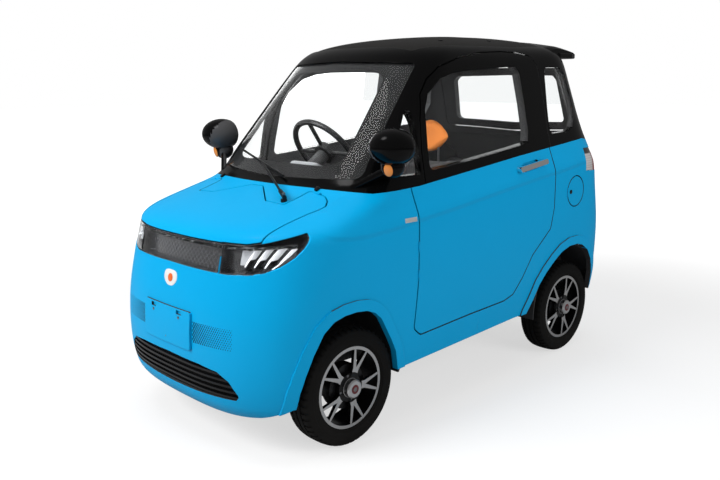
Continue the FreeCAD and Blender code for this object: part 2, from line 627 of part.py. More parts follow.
def make_front_axle():
    """Return the cross beam with its forked ends and kingpins."""
    low, high = AXLE_Z - KNUCKLE_HEIGHT / 2 - MOVE_GAP / 2, AXLE_Z + KNUCKLE_HEIGHT / 2 + MOVE_GAP / 2
    inner = KINGPIN_X - KNUCKLE_DEPTH - 2 * YOKE_THICKNESS
    reach = KINGPIN_X + KINGPIN_RADIUS + YOKE_THICKNESS / 2
    web = slab(inner, inner + YOKE_THICKNESS, -KNUCKLE_DEPTH / 2, KNUCKLE_DEPTH / 2,
               low - YOKE_THICKNESS, high + YOKE_THICKNESS)
    lower = slab(inner, reach, -KNUCKLE_DEPTH / 2, KNUCKLE_DEPTH / 2, low - YOKE_THICKNESS, low)
    upper = slab(inner, reach, -KNUCKLE_DEPTH / 2, KNUCKLE_DEPTH / 2, high, high + YOKE_THICKNESS)
    pin = rod(vec(KINGPIN_X, 0, low - YOKE_THICKNESS), vec(KINGPIN_X, 0, high + YOKE_THICKNESS),
              KINGPIN_RADIUS)
    end = joined([web, lower, upper, pin])
    beam = rod(vec(-inner - FIT_GAP, 0, BEAM_Z), vec(inner + FIT_GAP, 0, BEAM_Z), BEAM_RADIUS)
    posts = []
    for side in (-1, 1):
        x = side * (RAIL_X + RAIL_SIZE / 2)
        posts.append(slab(x - RAIL_SIZE / 2, x + RAIL_SIZE / 2, -BEAM_RADIUS, BEAM_RADIUS,
                          BEAM_Z, FLOOR_Z - RAIL_SIZE))
    axle = joined([beam, end, mirrored(end)] + posts)
    axle.translate(vec(0, -AXLE_Y, 0))
    return axle


def make_rear_axle():
    """Return the rear tube with its stubs and gearbox housing."""
    back = WHEEL_FACE_X - SPOKE_DISC_DEPTH - HUB_FLANGE_DEPTH - DRUM_DEPTH
    tube_end, stub_end = back - MOVE_GAP, back + STUB_LENGTH - MOVE_GAP
    tube = rod(vec(-tube_end, 0, AXLE_Z), vec(tube_end, 0, AXLE_Z), AXLE_TUBE_RADIUS)
    stubs = rod(vec(-stub_end, 0, AXLE_Z), vec(stub_end, 0, AXLE_Z), STUB_RADIUS)
    gears = rod(vec(0, 0, AXLE_Z), vec(GEARBOX_LENGTH, 0, AXLE_Z), GEARBOX_RADIUS)
    pads = []
    for side in (-1, 1):
        pads.append(slab(side * SPRING_X - SPRING_WIDTH / 2, side * SPRING_X + SPRING_WIDTH / 2,
                         -SPRING_WIDTH, SPRING_WIDTH, AXLE_Z, AXLE_Z + AXLE_TUBE_RADIUS))
    axle = joined([tube, stubs, gears] + pads)
    axle.translate(vec(0, AXLE_Y, 0))
    return axle


def make_motor():
    """Return the drive motor beside the gearbox."""
    motor = rod(vec(-MOTOR_LENGTH, AXLE_Y, AXLE_Z), vec(0, AXLE_Y, AXLE_Z), MOTOR_RADIUS)
    tube = rod(vec(-MOTOR_LENGTH, AXLE_Y, AXLE_Z), vec(0, AXLE_Y, AXLE_Z), AXLE_TUBE_RADIUS)
    return motor.cut(tube)


def make_chassis():
    """Return the two rails, the cross members and the leaf springs."""
    top, low = FLOOR_Z, FLOOR_Z - RAIL_SIZE
    parts = [slab(RAIL_X, RAIL_X + RAIL_SIZE, RAIL_FRONT_Y, RAIL_REAR_Y, low, top)]
    parts.append(mirrored(parts[0]))
    for place in CROSS_PLACES:
        parts.append(slab(-RAIL_X, RAIL_X, place - CROSS_SIZE / 2, place + CROSS_SIZE / 2,
                          low, low + CROSS_SIZE))
    spring_low = AXLE_Z + AXLE_TUBE_RADIUS
    leaf = slab(SPRING_X - SPRING_WIDTH / 2, SPRING_X + SPRING_WIDTH / 2,
                AXLE_Y - SPRING_HALF_LENGTH, AXLE_Y + SPRING_HALF_LENGTH,
                spring_low, spring_low + SPRING_THICKNESS)
    for end in (-1, 1):
        y = AXLE_Y + end * (SPRING_HALF_LENGTH - SPRING_WIDTH / 2)
        hanger = slab(RAIL_X + RAIL_SIZE, SPRING_X + SPRING_WIDTH / 2, y - SPRING_WIDTH / 2,
                      y + SPRING_WIDTH / 2, spring_low, low + RAIL_SIZE / 2)
        parts += [hanger, mirrored(hanger)]
    parts += [leaf, mirrored(leaf)]
    return joined(parts)


def make_floor_pan(room):
    """Return the flat floor, narrower between the wheel houses."""
    low, high = FLOOR_Z, FLOOR_Z + TUB_SHEET
    front, rear = FRONT_WELL_RADIUS - AXLE_Y, AXLE_Y - REAR_WELL_RADIUS
    front_half, rear_half = FRONT_WELL_X - TUB_SHEET, REAR_WELL_X - TUB_SHEET
    pan = joined([slab(-HALF_WIDTH, HALF_WIDTH, front, rear, low, high),
                  slab(-front_half, front_half, FRONT_WALL_Y, front, low, high),
                  slab(-rear_half, rear_half, rear, REAR_WALL_Y, low, high)])
    return pan.common(room)


def make_bulkheads(room):
    """Return the front wall with its tray and firewall, and the rear wall with its deck."""
    sheet, wide = TUB_SHEET, HALF_WIDTH
    front = joined([
        slab(-wide, wide, FRONT_WALL_Y - sheet, FRONT_WALL_Y, FLOOR_Z, TRAY_Z + sheet),
        slab(-wide, wide, FRONT_WALL_Y, FIREWALL_Y, TRAY_Z, TRAY_Z + sheet),
        slab(-FIREWALL_HALF, FIREWALL_HALF, FIREWALL_Y, FIREWALL_Y + sheet, TRAY_Z, FIREWALL_TOP)])
    half = REAR_WELL_X - sheet
    rear = joined([
        slab(-half, half, REAR_WALL_Y, REAR_WALL_Y + sheet, FLOOR_Z, DECK_Z + sheet),
        slab(-wide, wide, DECK_FRONT_Y, REAR_WALL_Y, DECK_Z, DECK_Z + sheet)])
    return Part.makeCompound([front.common(room), rear.common(room)])


def make_wheel_houses(room):
    """Return the four wheel houses, open below and at the axles."""
    houses = []
    for y, radius, start in ((-AXLE_Y, FRONT_WELL_RADIUS, FRONT_WELL_X),
                             (AXLE_Y, REAR_WELL_RADIUS, REAR_WELL_X)):
        outer = rod(vec(start - TUB_SHEET, y, WELL_CENTRE_Z), vec(HALF_WIDTH, y, WELL_CENTRE_Z), radius)
        inner = rod(vec(start, y, WELL_CENTRE_Z), vec(HALF_WIDTH, y, WELL_CENTRE_Z),
                    radius - TUB_SHEET)
        below = slab(0, HALF_WIDTH, y - radius, y + radius, 0, WELL_BOTTOM_Z)
        slot = slab(0, HALF_WIDTH, y - AXLE_SLOT, y + AXLE_SLOT, 0, AXLE_Z + AXLE_SLOT)
        house = carved(outer, [inner, below, slot]).common(room)
        houses += [house, mirrored(house)]
    return Part.makeCompound(houses)


def soft_block(x_half, y0, y1, z0, z1, radius):
    """Return a block with all its edges rounded."""
    block = slab(-x_half, x_half, y0, y1, z0, z1)
    return block.makeFillet(radius, block.Edges)


def make_driver_seat():
    """Return the driver's seat with its pedestal."""
    cushion = soft_block(SEAT_WIDTH / 2, SEAT_FRONT_Y, SEAT_REAR_Y, SEAT_TOP_Z - SEAT_BACK_THICK,
                         SEAT_TOP_Z, SEAT_ROUND)
    back = soft_block(SEAT_WIDTH / 2, SEAT_REAR_Y - SEAT_BACK_THICK, SEAT_REAR_Y,
                      SEAT_TOP_Z - SEAT_BACK_THICK, SEAT_BACK_TOP, SEAT_ROUND)
    foot = slab(-SEAT_WIDTH / 2 + SEAT_ROUND, SEAT_WIDTH / 2 - SEAT_ROUND,
                SEAT_FRONT_Y + SEAT_ROUND, SEAT_REAR_Y - SEAT_ROUND,
                FLOOR_Z + TUB_SHEET, SEAT_TOP_Z - SEAT_BACK_THICK / 2)
    return joined([cushion, back, foot])


def make_headrest():
    """Return the headrest standing on the seat back."""
    front = SEAT_REAR_Y - (SEAT_BACK_THICK + HEADREST_THICK) / 2
    return soft_block(HEADREST_WIDTH / 2, front, front + HEADREST_THICK,
                      SEAT_BACK_TOP, HEADREST_TOP, SEAT_ROUND - FIT_GAP)


def make_bench(room):
    """Return the rear bench between the wheel houses."""
    half = BENCH_WIDTH / 2
    cushion = soft_block(half, BENCH_FRONT_Y, BENCH_REAR_Y, BENCH_TOP_Z - SEAT_BACK_THICK,
                         BENCH_TOP_Z, SEAT_ROUND)
    back = soft_block(half, BENCH_REAR_Y - SEAT_BACK_THICK, BENCH_REAR_Y,
                      BENCH_TOP_Z - SEAT_BACK_THICK, BENCH_BACK_TOP, SEAT_ROUND)
    foot = slab(-half + SEAT_ROUND, half - SEAT_ROUND, BENCH_FRONT_Y + SEAT_ROUND,
                BENCH_REAR_Y - SEAT_ROUND, FLOOR_Z + TUB_SHEET, BENCH_TOP_Z - SEAT_BACK_THICK / 2)
    return joined([cushion, back, foot]).common(room)


def make_dashboard(room):
    """Return the dashboard with the column that carries the steering wheel."""
    block = slab(-DASH_HALF, DASH_HALF, DASH_FRONT_Y, DASH_REAR_Y, DASH_BOTTOM_Z, DASH_TOP_Z)
    edges = [e for e in block.Edges if abs(e.BoundBox.YLength) < FIT_GAP
             and abs(e.BoundBox.ZLength) < FIT_GAP and e.BoundBox.YMax > DASH_FRONT_Y + FIT_GAP]
    block = block.makeFillet(SEAT_ROUND, edges)
    axis = steering_axis()
    centre = vec(*STEER_CENTRE)
    column = rod(centre - axis * (STEER_HUB_DEPTH / 2 + FIT_GAP),
                 centre - axis * (STEER_HUB_DEPTH / 2 + COLUMN_LENGTH), COLUMN_RADIUS)
    return joined([block.common(room), column])


def steering_axis():
    """Return the unit direction from the dashboard to the driver."""
    tilt = math.radians(STEER_TILT_DEG)
    return vec(0, math.sin(tilt), math.cos(tilt))


def make_steering_wheel():
    """Return the steering wheel with three arms."""
    axis = steering_axis()
    centre = vec(*STEER_CENTRE)
    ring = Part.makeTorus(WHEEL_RING_RADIUS, WHEEL_GRIP_RADIUS)
    hub = rod(vec(0, 0, -STEER_HUB_DEPTH / 2), vec(0, 0, STEER_HUB_DEPTH / 2), STEER_HUB_RADIUS)
    arms = []
    for turn in (0, 180, 270):
        way = vec(math.cos(math.radians(turn)), math.sin(math.radians(turn)), 0)
        arms.append(rod(way * FIT_GAP, way * WHEEL_RING_RADIUS, WHEEL_GRIP_RADIUS * STEER_ARM_SHARE))
    wheel = joined([ring, hub] + arms)
    wheel.rotate(vec(0, 0, 0), vec(1, 0, 0), -STEER_TILT_DEG)
    wheel.translate(centre)
    return wheel


def ellipsoid(centre, sizes):
    """Return a ball stretched to the given half sizes."""
    ball = Part.makeSphere(1.0)
    matrix = FreeCAD.Matrix()
    matrix.scale(*sizes)
    ball = ball.transformGeometry(matrix)
    ball.translate(vec(*centre))
    return ball


def make_mirror(outer):
    """Return the left mirror, its head, lower bowl and foot."""
    head = ellipsoid(MIRROR_CENTRE, MIRROR_HALF_SIZE)
    bowl = ellipsoid(MIRROR_BOWL_CENTRE, MIRROR_BOWL_SIZE)
    stalk = rod(vec(*STALK_FOOT), vec(*MIRROR_BOWL_CENTRE), STALK_RADIUS)
    mirror = joined([head, bowl, stalk])
    behind = slab(0, OUTSIDE, MIRROR_BACK_Y, 0, 0, 2 * BODY_HEIGHT)
    glass_room = ellipsoid(MIRROR_CENTRE, [MIRROR_GLASS_SHARE * size for size in MIRROR_HALF_SIZE])
    glass_room = glass_room.common(slab(0, OUTSIDE, MIRROR_BACK_Y - MIRROR_GLASS_DEPTH, 0,
                                        0, 2 * BODY_HEIGHT))
    return carved(mirror, [behind, glass_room, outer])


def make_wiper(outer):
    """Return the single wiper resting in front of the windscreen."""
    lower, elbow = vec(*WIPER_PIVOT), vec(*WIPER_ELBOW)
    foot = lower - vec(0, 0, 3 * WIPER_BOSS_RADIUS)
    boss = rod(foot, lower, WIPER_BOSS_RADIUS)
    lower = lower + vec(0, 0, WIPER_CAP_RADIUS)
    along = (elbow - lower).normalize()
    cap = rod(lower - along * WIPER_BOSS_RADIUS, lower + along * WIPER_CAP_LENGTH, WIPER_CAP_RADIUS)
    arm = rod(lower, elbow, WIPER_ARM_RADIUS)
    blade = rod(vec(*WIPER_TIP_A), vec(*WIPER_TIP_B), WIPER_ARM_RADIUS)
    return joined([boss, cap, arm, blade]).cut(outer)


def surface(outer, start, way):
    """Return where a line leaves the outer surface."""
    line = Part.LineSegment(start, start + way * OUTSIDE * 2).toShape()
    inside = line.common(outer)
    ends = [v.Point for v in inside.Vertexes]
    return max(ends, key=lambda p: p.dot(way))


def hinged(fixed, moving, spot, way):
    """Return both panels with a pin hinge centred on spot along way."""
    half = HINGE_BARREL / 2
    reach = half + HINGE_COLLAR
    pin = rod(spot - way * reach, spot + way * reach, HINGE_PIN_RADIUS)
    bore = rod(spot - way * reach, spot + way * reach, HINGE_PIN_RADIUS + BEARING_GAP)
    barrel = rod(spot - way * half, spot + way * half, HINGE_RADIUS)
    space = rod(spot - way * (half + FIT_GAP), spot + way * (half + FIT_GAP), HINGE_RADIUS + FIT_GAP)
    fixed, collars = fixed.cut(space), [pin]
    for sign in (-1, 1):
        start, stop = spot + way * sign * (half + FIT_GAP), spot + way * sign * reach
        collars.append(rod(start, stop, HINGE_RADIUS))
        room = rod(start - way * sign * FIT_GAP, stop + way * sign * FIT_GAP, HINGE_RADIUS + FIT_GAP)
        moving = moving.cut(room)
    return joined([fixed] + collars), joined([moving, barrel]).cut(bore)


def lamp_zones(grow, split):
    """Return the openings of the light bar and of both headlamps."""
    bar = front_prism(LIGHT_BAR_SHARES, LAMP_ROUND, grow, -BODY_LENGTH, NOSE_FACE_Y)
    left = side_prism(HEADLAMP_SHARES, LAMP_TIP_ROUND, grow, LAMP_SPLIT_X + split - grow)
    return [bar, left, mirrored(left)]


def make_lamps():
    """Return the clear covers, and behind them the hollow housings with slanted fins."""
    back = LAMP_STEP + LENS_WALL
    zones, insides = lamp_zones(0.0, LAMP_SPLIT), lamp_zones(-BUCKET_WALL, LAMP_SPLIT)
    housings = []
    for zone, inside in zip(zones[:2], insides):
        hollow = layer(inside, 0.0, LAMP_DEPTH - BUCKET_WALL)
        housings.append(layer(zone, back, LAMP_DEPTH).cut(hollow))
    fins = []
    for number in range(FIN_COUNT):
        x = FIN_FIRST_X + FIN_STEP * number
        corners = [vec(x, -BODY_LENGTH, FIN_LOW_Z), vec(x + FIN_WIDTH, -BODY_LENGTH, FIN_LOW_Z),
                   vec(x + FIN_WIDTH + FIN_LEAN, -BODY_LENGTH, FIN_HIGH_Z),
                   vec(x + FIN_LEAN, -BODY_LENGTH, FIN_HIGH_Z)]
        fin = Part.Face(Part.makePolygon(corners + corners[:1])).extrude(vec(0, BODY_LENGTH, 0))
        fins.append(layer(fin.common(zones[1]), back + FIN_SETBACK, LAMP_DEPTH - FIT_GAP))
    left = joined([housings[1]] + fins)
    bar, cover = [layer(zone, LAMP_STEP, back) for zone in zones[:2]]
    return (Part.makeCompound([bar, cover, mirrored(cover)]),
            Part.makeCompound([housings[0], left, mirrored(left)]))


def make_handle():
    """Return the left door handle, a grip on two feet."""
    outline = side_prism(HANDLE_SHARES, CORNER_ROUND)
    back = HANDLE_THICK - HANDLE_OUT
    grip = layer(outline, -HANDLE_OUT, back)
    room = outline.BoundBox
    feet = []
    for y in (room.YMin, room.YMax - HANDLE_FOOT):
        part = slab(MIRROR_X, OUTSIDE, y, y + HANDLE_FOOT, room.ZMin, room.ZMax)
        feet.append(layer(outline.common(part), back - FIT_GAP, 0.0))
    return joined([grip] + feet)


def make_grille():
    """Return the grille: a back wall with level bars in front."""
    opening = front_prism(GRILLE_SHARES, SMALL_ROUND, 0.0, -BODY_LENGTH, NOSE_FACE_Y)
    step = (GRILLE_HIGH_Z - GRILLE_LOW_Z) / (SLAT_COUNT + 1)
    levels = []
    for number in range(SLAT_COUNT):
        z = GRILLE_LOW_Z + step * (number + 1)
        levels.append(slab(-HALF_WIDTH, HALF_WIDTH, -BODY_LENGTH, NOSE_FACE_Y, z - SLAT_HEIGHT / 2,
                           z + SLAT_HEIGHT / 2))
    bars = [layer(opening.common(level), GRILLE_FACE, GRILLE_BACK + FIT_GAP) for level in levels]
    return joined([layer(opening, GRILLE_BACK, BODY_WALL)] + bars)


def save(name, shape):
    """Write one piece to its own file."""
    solids = [s for s in shape.Solids if s.Volume > SMALLEST_PIECE]
    whole = solids[0] if len(solids) == 1 else Part.makeCompound(solids)
    if not whole.isValid():
        print("not valid", name)
    print(name, len(solids), round(whole.Volume))
    whole.exportStep("parts/" + name + ".step")


def build():
    """Build and write every piece."""
    os.makedirs("parts", exist_ok=True)
    outer = skin(0.0)
    room = skin(DOOR_WALL + MOVE_GAP)
    shell_room = skin(BODY_WALL)
    below, above = band(BELT_SHARES, False), band(BELT_SHARES, True)
    over_road = band(BOTTOM_SHARES, True)
    far = BODY_LENGTH

    door_hole = side_prism(DOOR_LOWER_SHARES, CORNER_ROUND, SHUT_GAP)
    upper_hole = side_prism(DOOR_UPPER_SHARES, CORNER_ROUND, SHUT_GAP)
    front_arch, rear_arch = [side_prism(a, ARCH_ROUND) for a in (FRONT_ARCH_SHARES, REAR_ARCH_SHARES)]
    tail_left = front_prism(TAIL_LAMP_SHARES, SMALL_ROUND, 0.0, TAIL_FACE_Y, BODY_LENGTH)
    grille = front_prism(GRILLE_SHARES, SMALL_ROUND, 0.0, -BODY_LENGTH, NOSE_FACE_Y)
    hood_cut = plan_prism(HOOD_SHARES, SMALL_ROUND, SHUT_GAP, HOOD_CUT_Z)
    flap_line = rod(vec(MIRROR_X, FLAP_Y, FLAP_Z), vec(OUTSIDE, FLAP_Y, FLAP_Z), FLAP_RADIUS)
    flap_hole = rod(vec(MIRROR_X, FLAP_Y, FLAP_Z), vec(OUTSIDE, FLAP_Y, FLAP_Z),
                    FLAP_RADIUS + SHUT_GAP)

    left_side = slab(0, far, -far, far, 0, far)
    left_room = below.common(over_road).common(left_side)
    front = layer(left_room.common(slab(0, far, -far, 0, 0, far)), 0.0, BODY_WALL)
    rear = layer(left_room.common(slab(0, far, 0, far, 0, far)), 0.0, BODY_WALL)
    flares = []
    for arch in (FRONT_ARCH_SHARES, REAR_ARCH_SHARES):
        zone = side_prism(arch, ARCH_ROUND, FLARE_WIDTH).common(over_road)
        flares.append(layer(zone, -FLARE_STEP, BODY_WALL / 2))
    front = carved(joined([front, flares[0]]),
                   [front_arch, door_hole, hood_cut, grille] + lamp_zones(0.0, 0.0)[:2])
    rear = carved(joined([rear, flares[1]]), [rear_arch, door_hole, tail_left])
    rear = joined([rear, mirrored(rear)]).cut(layer(flap_hole, 0.0, FLAP_POCKET))
    plate = front_prism(PLATE_SHARES, SMALL_ROUND, 0.0, -BODY_LENGTH, NOSE_FACE_Y)
    notch = slab(NOTCH_X - NOTCH_WIDTH / 2, NOTCH_X + NOTCH_WIDTH / 2, -BODY_LENGTH, NOSE_FACE_Y,
                 NOTCH_TOP_Z - NOTCH_HEIGHT, NOTCH_TOP_Z)
    plate = layer(plate.cut(with_mirrors([notch])), -PLATE_STEP, 0.0)
    hood = layer(plan_prism(HOOD_SHARES, SMALL_ROUND, 0.0, HOOD_CUT_Z).common(left_room),
                 0.0, HOOD_WALL)
    hood = carved(hood, lamp_zones(SHUT_GAP, 0.0)[:2])
    flap = layer(flap_line, 0.0, FLAP_WALL)
    door_low = layer(side_prism(DOOR_LOWER_SHARES).common(below), 0.0, DOOR_WALL)
    recess = layer(side_prism(HANDLE_RECESS_SHARES, CORNER_ROUND), 0.0, HANDLE_RECESS)
    door_low = door_low.cut(recess)

    top = surface(outer, vec(HOOD_HINGE_X, HOOD_HINGE_Y, HOOD_CUT_Z), vec(0, 0, 1))
    front, hood = hinged(front, hood, top, vec(1, 0, 0))
    x = surface(outer, vec(MIRROR_X, DOOR_HINGE_Y, DOOR_HINGE_ZS[0]), vec(1, 0, 0)).x
    for z in DOOR_HINGE_ZS:
        front, door_low = hinged(front, door_low, vec(x, DOOR_HINGE_Y, z), vec(0, 0, 1))
    front, hood = [joined([half, mirrored(half)]) for half in (front, hood)]
    spot = surface(outer, vec(MIRROR_X, FLAP_Y - FLAP_RADIUS - SHUT_GAP / 2, FLAP_Z), vec(1, 0, 0))
    rear, flap = hinged(rear, flap, spot, vec(0, 0, 1))

    save("front_body", front)
    save("plate_panel", plate)
    save("rear_body", rear)
    save("charge_flap", flap)
    save("hood", hood)
    covers, housings = make_lamps()
    save("lamp_covers", covers)
    save("lamp_housings", housings)
    save("tail_lamps", both(layer(tail_left.common(below), LAMP_STEP, LAMP_STEP + TAIL_LAMP_WALL)))
    save("front_grille", make_grille())

    screen = front_prism(WINDSCREEN_SHARES, CORNER_ROUND)
    front_quarter = side_prism(FRONT_QUARTER_SHARES, SMALL_ROUND)
    rear_quarter = side_prism(REAR_QUARTER_SHARES, CORNER_ROUND)
    hatch_hole = front_prism(HATCH_SHARES, CORNER_ROUND, SHUT_GAP, TAIL_FACE_Y, BODY_LENGTH)
    hatch = front_prism(HATCH_SHARES, CORNER_ROUND, 0.0, TAIL_FACE_Y, BODY_LENGTH)
    hatch_pane = front_prism(HATCH_GLASS_SHARES, CORNER_ROUND, 0.0, TAIL_FACE_Y, BODY_LENGTH)
    roof = plan_prism(ROOF_SHARES, CORNER_ROUND, 0.0, ROOF_CUT_Z)
    lip = plan_prism(ROOF_LIP_SHARES, CORNER_ROUND, 0.0, ROOF_LIP_LOW_Z, ROOF_LIP_HIGH_Z)
    lip = lip.makeFillet(ROOF_LIP_ROUND, lip.Edges).cut(skin(CAB_WALL / 2)).common(left_side)
    cab = carved(joined([layer(above.common(left_side), 0.0, CAB_WALL), lip]),
                 [screen, hatch_hole, roof, front_quarter, rear_quarter, upper_hole])
    save("roof_panel", layer(roof, ROOF_STEP, ROOF_STEP + ROOF_WALL))
    save("windscreen", layer(screen, *GLASS_DEPTHS))
    save("quarter_glass", Part.makeCompound(
        with_mirrors([layer(zone, *GLASS_DEPTHS) for zone in (front_quarter, rear_quarter)])))
    lid = layer(hatch.common(left_side), 0.0, CAB_WALL).cut(hatch_pane)
    y = surface(outer, vec(HATCH_HINGE_X, 0, HATCH_HINGE_Z), vec(0, 1, 0)).y
    collars_x = HATCH_HINGE_X - HINGE_BARREL / 2 - HINGE_COLLAR
    cab = cab.cut(rod(vec(0, y, HATCH_HINGE_Z), vec(collars_x, y, HATCH_HINGE_Z), HATCH_CHANNEL_RADIUS))
    cab, lid = hinged(cab, lid, vec(HATCH_HINGE_X, y, HATCH_HINGE_Z), vec(1, 0, 0))
    cab, lid = [joined([half, mirrored(half)]) for half in (cab, lid)]
    save("cab_frame", cab)
    save("hatch_frame", lid)
    save("hatch_glass", layer(hatch_pane, *GLASS_DEPTHS))

    roof_room = plan_prism(ROOF_SHARES, CORNER_ROUND, MOVE_GAP, ROOF_CUT_Z)
    pane_hole = side_prism(DOOR_GLASS_SHARES)
    door_high = layer(side_prism(DOOR_UPPER_SHARES).common(above), 0.0, DOOR_WALL)
    door_high = carved(door_high, [pane_hole, roof_room])
    pane, handle = layer(pane_hole, *GLASS_DEPTHS), make_handle()
    for side in ("left", "right"):
        for name, shape in (("door_", door_low), ("door_frame_", door_high),
                            ("door_glass_", pane), ("door_handle_", handle)):
            save(name + side, shape if side == "left" else mirrored(shape))

    save("mirrors", both(make_mirror(outer)))
    save("wiper", make_wiper(outer))

    rim, tyre = make_rim(), make_tyre()
    for place, y in (("front", -AXLE_Y), ("rear", AXLE_Y)):
        for side, sign in (("left", 1), ("right", -1)):
            save("rim_" + place + "_" + side, wheel_frame(rim, sign, y))
            save("tyre_" + place + "_" + side, wheel_frame(tyre, sign, y))
    knuckle = make_knuckle()
    save("knuckle_left", knuckle)
    save("knuckle_right", mirrored(knuckle))
    save("front_axle", make_front_axle())
    save("rear_axle", make_rear_axle())
    save("drive_motor", make_motor())
    save("chassis_frame", make_chassis())
    width, length, height = BATTERY_SIZE
    save("battery_box", slab(-width / 2, width / 2, BATTERY_Y - length / 2, BATTERY_Y + length / 2,
                             FLOOR_Z - height, FLOOR_Z))
    save("floor_pan", make_floor_pan(shell_room))
    save("bulkheads", make_bulkheads(shell_room))
    save("wheel_houses", make_wheel_houses(shell_room))
    save("driver_seat", make_driver_seat())
    save("headrest", make_headrest())
    save("rear_bench", make_bench(room))
    save("dashboard", make_dashboard(room))
    save("steering_wheel", make_steering_wheel())


build()
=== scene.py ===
"""Looks of the small electric cabin car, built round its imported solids.

Metres, +Z up, the nose points to -Y and the car's left side to +X.
"""

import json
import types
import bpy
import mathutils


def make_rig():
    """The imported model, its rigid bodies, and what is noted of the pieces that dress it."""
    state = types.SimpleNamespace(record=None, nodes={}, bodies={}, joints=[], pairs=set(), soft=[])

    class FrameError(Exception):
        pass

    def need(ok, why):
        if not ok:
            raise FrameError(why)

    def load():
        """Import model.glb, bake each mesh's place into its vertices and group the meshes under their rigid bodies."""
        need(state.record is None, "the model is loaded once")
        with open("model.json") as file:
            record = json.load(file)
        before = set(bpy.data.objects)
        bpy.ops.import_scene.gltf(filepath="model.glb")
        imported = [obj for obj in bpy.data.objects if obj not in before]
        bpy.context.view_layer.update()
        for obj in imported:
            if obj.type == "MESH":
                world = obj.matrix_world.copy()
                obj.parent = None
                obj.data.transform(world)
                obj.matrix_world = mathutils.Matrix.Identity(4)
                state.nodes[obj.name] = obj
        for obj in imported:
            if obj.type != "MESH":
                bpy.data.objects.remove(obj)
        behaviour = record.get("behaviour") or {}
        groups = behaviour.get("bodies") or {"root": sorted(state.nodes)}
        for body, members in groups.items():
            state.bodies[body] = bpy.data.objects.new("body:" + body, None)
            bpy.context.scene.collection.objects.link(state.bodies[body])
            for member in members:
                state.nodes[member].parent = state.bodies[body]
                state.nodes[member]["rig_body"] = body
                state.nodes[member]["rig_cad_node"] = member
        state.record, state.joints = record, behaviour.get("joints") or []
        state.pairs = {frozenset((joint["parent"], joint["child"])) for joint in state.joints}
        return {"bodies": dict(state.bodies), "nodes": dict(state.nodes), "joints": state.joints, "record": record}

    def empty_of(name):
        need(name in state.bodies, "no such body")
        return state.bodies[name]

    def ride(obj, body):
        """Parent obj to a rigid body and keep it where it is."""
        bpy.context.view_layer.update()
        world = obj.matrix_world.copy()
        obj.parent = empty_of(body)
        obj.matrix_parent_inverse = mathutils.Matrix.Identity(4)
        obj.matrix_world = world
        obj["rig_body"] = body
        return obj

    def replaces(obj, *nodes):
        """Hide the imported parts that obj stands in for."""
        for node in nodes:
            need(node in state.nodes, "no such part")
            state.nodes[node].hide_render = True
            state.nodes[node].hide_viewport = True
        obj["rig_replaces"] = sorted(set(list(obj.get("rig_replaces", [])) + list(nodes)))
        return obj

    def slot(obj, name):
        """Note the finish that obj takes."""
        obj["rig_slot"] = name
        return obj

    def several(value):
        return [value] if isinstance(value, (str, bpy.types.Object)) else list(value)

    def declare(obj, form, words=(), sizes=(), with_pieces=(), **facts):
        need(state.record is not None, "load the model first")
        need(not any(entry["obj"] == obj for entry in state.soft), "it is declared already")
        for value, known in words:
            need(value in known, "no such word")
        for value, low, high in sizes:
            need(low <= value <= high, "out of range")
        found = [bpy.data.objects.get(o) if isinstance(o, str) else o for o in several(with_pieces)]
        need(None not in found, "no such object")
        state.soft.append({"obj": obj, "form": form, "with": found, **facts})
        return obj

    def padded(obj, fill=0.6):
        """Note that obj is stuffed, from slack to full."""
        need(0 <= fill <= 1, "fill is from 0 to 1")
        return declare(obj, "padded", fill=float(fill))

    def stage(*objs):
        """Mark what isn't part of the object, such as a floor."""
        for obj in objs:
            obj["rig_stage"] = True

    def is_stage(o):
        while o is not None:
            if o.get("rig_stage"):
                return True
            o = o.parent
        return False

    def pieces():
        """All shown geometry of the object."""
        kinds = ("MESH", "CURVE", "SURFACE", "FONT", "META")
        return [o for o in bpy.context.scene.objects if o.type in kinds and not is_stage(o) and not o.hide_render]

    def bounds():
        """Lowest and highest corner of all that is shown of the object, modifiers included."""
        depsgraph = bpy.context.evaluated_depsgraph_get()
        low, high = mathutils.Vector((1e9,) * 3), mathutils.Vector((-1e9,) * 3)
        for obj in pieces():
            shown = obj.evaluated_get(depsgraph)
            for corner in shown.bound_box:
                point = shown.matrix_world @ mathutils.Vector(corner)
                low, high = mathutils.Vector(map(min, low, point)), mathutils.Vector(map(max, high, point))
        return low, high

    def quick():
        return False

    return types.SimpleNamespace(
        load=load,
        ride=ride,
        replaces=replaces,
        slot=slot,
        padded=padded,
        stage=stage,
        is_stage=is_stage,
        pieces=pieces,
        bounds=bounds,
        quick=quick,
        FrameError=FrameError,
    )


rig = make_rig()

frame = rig.load()

import functools
import json
import logging
import math
from dataclasses import dataclass, replace
from enum import Enum
from typing import Iterable, Optional, Sequence, Union

import bmesh
import bpy
from mathutils import Matrix, Vector
from mathutils.bvhtree import BVHTree

CAD_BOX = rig.bounds()
LOG = logging.getLogger("microcar")
Pair = tuple[float, float]
Triple = tuple[float, float, float]
Mesh = bmesh.types.BMesh
Verts = list[bmesh.types.BMVert]
WHOLE_TURN = 2 * math.pi

# Wheels: the axles' place from the middle of the car and the place of the rims' outer faces.
AXLE_Y = 0.788
AXLE_Z = 0.241
WHEEL_FACE_X = 0.565

# Lines that find a surface start this far out or up and run in one of these ways.
FAR = 2.0
HIGH = 3.0
BACKWARD = (0, 1, 0)
FORWARD = (0, -1, 0)
DOWN = (0, 0, -1)


class Sign(Enum):
    """A choice between two places, with the sign of the axis at each."""

    @property
    def word(self) -> str:
        """Return the name in lower case."""
        return self.name.lower()


class Side(Sign):
    """The two sides of the car, with the sign of X."""

    LEFT = 1
    RIGHT = -1


class Axle(Sign):
    """The two axles, with the sign of Y."""

    FRONT = -1
    REAR = 1


